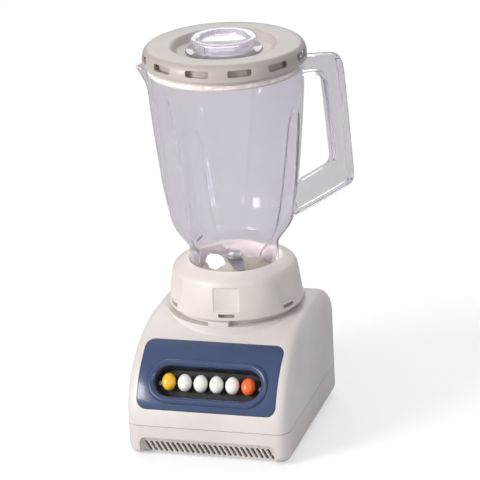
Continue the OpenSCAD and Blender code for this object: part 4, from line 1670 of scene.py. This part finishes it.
@dataclass
class Lid(Assembly):
    """The cream lid with windows round its edge, and the clear filler cap in its dish."""

    finishes: Finishes
    outer_r: float = 70 * MM
    low: float = 324.4 * MM
    top: float = 338.4 * MM
    wall: float = 2.4 * MM
    plug_r: float = 63.8 * MM
    plug_low: float = 316 * MM
    dish_r: float = 45 * MM
    seat_z: float = 332.4 * MM
    hole_r: float = 25 * MM
    windows: int = 12
    first_turn: float = 26.7
    window_half: float = 10.2 * MM
    window_drop: tuple[float, float] = (3.8 * MM, 9.6 * MM)
    cap_flutes: int = 12

    def shell(self) -> bpy.types.Object:
        """The spun lid: rolled rim, flat top, shallow dish and the plug below.

        Returns:
            The lid without its windows.
        """
        out, top, low, wall = self.outer_r, self.top, self.low, self.wall
        outside = [(out - 0.5 * MM, low), (out, low + 0.5 * MM), (out, low + 3 * MM)]
        outside += curve_between((out - 0.05 * MM, low + 4 * MM), (out - 0.3 * MM, top - 1.2 * MM),
                                 (out - 6.6 * MM, top), 9)
        outside += [(out - 12 * MM, top), (self.dish_r + 3 * MM, top)]
        outside += curve_between((self.dish_r + 2 * MM, top), (self.dish_r - 0.6 * MM, top - 0.2 * MM),
                                 (self.dish_r - 3.6 * MM, self.seat_z + 1.4 * MM), 5)
        outside += curve_between((self.dish_r - 4.2 * MM, self.seat_z + 0.8 * MM),
                                 (self.dish_r - 5 * MM, self.seat_z), (self.dish_r - 7 * MM, self.seat_z), 4)
        inside = [(self.hole_r, self.seat_z), (self.hole_r, self.seat_z - wall),
                  (self.dish_r - 6 * MM, self.seat_z - wall), (self.dish_r - 1 * MM, top - wall - 1.4 * MM),
                  (self.dish_r + 3 * MM, top - wall), (self.plug_r - wall, top - wall),
                  (self.plug_r - wall, self.plug_low), (self.plug_r, self.plug_low),
                  (self.plug_r, low + 0.2 * MM), (self.plug_r, top - wall), (out - 5.4 * MM, top - wall),
                  (out - wall, top - wall - 3.6 * MM), (out - wall, low)]
        return turned("lid_shell", outside + inside, 192)

    def window_tool(self) -> bpy.types.Object:
        """One rounded window through the rolled rim, along +X.

        Returns:
            The solid to cut with.
        """
        half = self.window_half
        above, below = self.window_drop
        tool = block("window", (self.plug_r - 0.1 * MM, -half, self.top - below),
                     (self.outer_r + 3 * MM, half, self.top - above))
        with editing(tool):
            choose(tool, "edges", lambda e: abs(e.verts[0].co.x - e.verts[1].co.x) > 1 * MM)
            bpy.ops.mesh.bevel(offset=1.6 * MM, segments=4, profile=0.5, affect="EDGES")
        return tool

    def build(self) -> None:
        """Makes the lid and its cap."""
        body = self.shell()
        tool = self.window_tool()
        turns = [self.first_turn + 360 / self.windows * i for i in range(self.windows)]
        tools = [copied(tool, f"window{i}", spin_place(turn)) for i, turn in enumerate(turns)]
        bpy.data.objects.remove(tool, do_unlink=True)
        cut(body, joined(tools, "windows"))
        soften(body, 0.4 * MM, 42, 2)
        self.place(smooth(body, 32), "lid_plastic", "lid_unit", "lid")
        self.place(self.cap(), "cap_clear", "cap", "filler_cap")

    def cap(self) -> bpy.types.Object:
        """The clear cup: flange, ribbed drum with a raised ring on top, and body below.

        Returns:
            The finished cap.
        """
        base = self.seat_z
        drum, wall = 28.6 * MM, 2.2 * MM
        top = base + 12.2 * MM
        low = base - 22 * MM
        points = [(24.6 * MM, low), (24.6 * MM, base), (32.4 * MM, base), (33 * MM, base + 0.5 * MM),
                  (33 * MM, base + 1.4 * MM), (32.2 * MM, base + 2.0 * MM), (28.4 * MM, base + 2.2 * MM),
                  (25.8 * MM, base + 3.2 * MM), (26.6 * MM, top - 3.4 * MM),
                  (drum - 0.4 * MM, top - 2.8 * MM)]
        points += curve_between((drum, top - 2.2 * MM), (drum - 0.2 * MM, top), (drum - 2.8 * MM, top), 6)
        points += curve_between((21.5 * MM, top - 0.2 * MM), (19.4 * MM, top - 0.5 * MM),
                                (18.8 * MM, top - 3.4 * MM), 5)
        points += [(0.0, top - 3.8 * MM), (0.0, top - 3.8 * MM - wall), (17.6 * MM, top - 3.4 * MM - wall),
                   (20.6 * MM, top - 2.4 * MM - wall), (22.6 * MM, top - 4.6 * MM - wall), (22.4 * MM, low)]
        cup = turned("filler_cap_cup", points, 144)
        for i in range(self.cap_flutes):
            turn = Matrix.Rotation(math.radians(360 / self.cap_flutes * i + 15), 4, "Z")
            place = turn @ Matrix.Translation((drum + 0.4 * MM, 0, 0))
            cut(cup, rod("flute", 4.2 * MM, base + 3.4 * MM, top - 3.6 * MM, 32, place=place))
        soften(cup, 0.35 * MM, 40, 2)
        return smooth(cup, 32)


@dataclass
class Studio:
    """The camera, the soft lamps, the white surround and the pale floor."""

    target: tuple[float, float, float] = (0.0, 0.0, 0.180)
    turn: float = 16.76
    rise: float = 20.38
    roll: float = 2.92
    distance: float = 2.6
    lens: float = 226.2
    aside: float = 5.27 * MM
    below: float = 18.1 * MM
    glow: float = 0.60
    open_glow: tuple[float, float, float] = (0.98, 0.97, 0.98)
    side_glow: tuple[float, float, float] = (0.24, 0.22, 0.34)

    def camera(self) -> None:
        """Puts the camera where the part was looked at from."""
        turn, rise = math.radians(self.turn), math.radians(self.rise)
        back = Vector((math.sin(turn) * math.cos(rise), -math.cos(turn) * math.cos(rise), math.sin(rise)))
        right = Vector((math.cos(turn), math.sin(turn), 0.0))
        up = back.cross(right)
        deselect_all()
        bpy.ops.object.camera_add()
        camera = bpy.context.object
        camera.name = "camera"
        camera.data.lens = self.lens
        camera.data.sensor_width = 36.0
        camera.data.clip_end = 20.0
        facing = Matrix((right, up, back)).transposed()
        shifted = Vector(self.target) + right * self.aside - up * self.below
        camera.location = AXIS + shifted + back * self.distance
        camera.rotation_euler = (facing @ Matrix.Rotation(math.radians(-self.roll), 3, "Z")).to_euler()
        bpy.context.scene.camera = camera

    def lamp(self, name: str, place: Sequence[float], size: Sequence[float], power: float,
             tint: Sequence[float] = (1.0, 1.0, 1.0)) -> None:
        """One soft box aimed at the middle of the part.

        Args:
            name: The lamp's name.
            place: Its place from the motor's axis, in metres.
            size: Its width and height.
            power: Its power in watts.
            tint: Its colour.
        """
        deselect_all()
        bpy.ops.object.light_add(type="AREA", location=AXIS + Vector(place))
        lamp = bpy.context.object
        lamp.name = name
        lamp.data.shape = "RECTANGLE"
        lamp.data.size, lamp.data.size_y = size
        lamp.data.energy = power
        lamp.data.color = tint
        aim = Vector((0, 0, 0.17)) - Vector(place)
        lamp.rotation_euler = aim.to_track_quat("-Z", "Y").to_euler()

    def build(self) -> None:
        """Sets up the whole studio."""
        self.camera()
        self.lamp("key", (-1.3, -1.5, 0.85), (0.7, 0.9), 33.0, (1.0, 0.99, 0.975))
        self.lamp("fill", (1.6, -1.0, 0.7), (0.22, 1.5), 8.0, (0.91, 0.93, 1.0))
        self.lamp("back", (-0.4, 1.6, 1.1), (1.4, 0.6), 7.0)
        self.surround()
        view = bpy.context.scene.view_settings
        view.view_transform = "Standard"
        view.look = "None"
        view.exposure = 0.0
        view.gamma = 1.0
        self.floor()

    def surround(self) -> None:
        """A white backdrop that lights the part more dimly than it looks, with darker sides."""
        world = bpy.data.worlds.new("surround")
        bpy.context.scene.world = world
        world.use_nodes = True
        tree = world.node_tree
        tree.nodes.clear()
        make = tree.nodes.new
        place = make("ShaderNodeTexCoord")
        split = make("ShaderNodeSeparateXYZ")
        tree.links.new(place.outputs["Generated"], split.inputs[0])
        side = make("ShaderNodeMath")
        side.operation = "ABSOLUTE"
        tree.links.new(split.outputs["X"], side.inputs[0])
        ramp = make("ShaderNodeValToRGB")
        ramp.color_ramp.interpolation = "EASE"
        ramp.color_ramp.elements[0].position = 0.45
        ramp.color_ramp.elements[0].color = (*self.open_glow, 1.0)
        ramp.color_ramp.elements[1].position = 0.95
        ramp.color_ramp.elements[1].color = (*self.side_glow, 1.0)
        tree.links.new(side.outputs[0], ramp.inputs[0])
        near = make("ShaderNodeBackground")
        tree.links.new(ramp.outputs["Color"], near.inputs["Color"])
        near.inputs["Strength"].default_value = self.glow
        far = make("ShaderNodeBackground")
        far.inputs["Color"].default_value = (1.0, 1.0, 1.0, 1.0)
        paths = make("ShaderNodeLightPath")
        blend = make("ShaderNodeMixShader")
        tree.links.new(paths.outputs["Is Camera Ray"], blend.inputs[0])
        tree.links.new(near.outputs[0], blend.inputs[1])
        tree.links.new(far.outputs[0], blend.inputs[2])
        out = make("ShaderNodeOutputWorld")
        tree.links.new(blend.outputs[0], out.inputs["Surface"])

    def floor(self) -> None:
        """The pale floor under the feet, with painted shade that darkens it towards its far left and right.
        """
        deselect_all()
        bpy.ops.mesh.primitive_plane_add(size=40.0, location=(0, 0, 0))
        floor = bpy.context.object
        floor.name = "floor"
        paint = Paint("floor_paper")
        grain = paint.noise(30.0, 3.0)
        # Painted shade: the floor's colour is mixed towards a dark lavender grey far out to the left and
        # right.
        far = (paint.axis("X") * paint.axis("X")).stepped(0.35, 2.2)
        seen = paint.node("ShaderNodeLightPath", output="Is Camera Ray")
        paper = paint.mix(grain, (0.60, 0.60, 0.60), (0.62, 0.62, 0.62))
        paint.set(Base_Color=paint.mix(far, paper, (0.16, 0.14, 0.20)), Roughness=0.95,
                  Specular_IOR_Level=0.1, Emission_Color=(1.0, 1.0, 1.0), Emission_Strength=seen * 0.48)
        floor.data.materials.append(paint.material)


def main() -> None:
    """Builds the blender's visual model on the frame, then the studio round it."""
    logging.basicConfig(level=logging.INFO, format="%(message)s")
    finishes = Finishes()
    finishes.dress_frame()
    base = Base(finishes)
    base.build()
    ControlPanel(finishes, base).build()
    Collar(finishes).build()
    BladeSet(finishes).build()
    Jar(finishes).build()
    Lid(finishes).build()
    Studio().build()


if __name__ == "__main__":
    main()
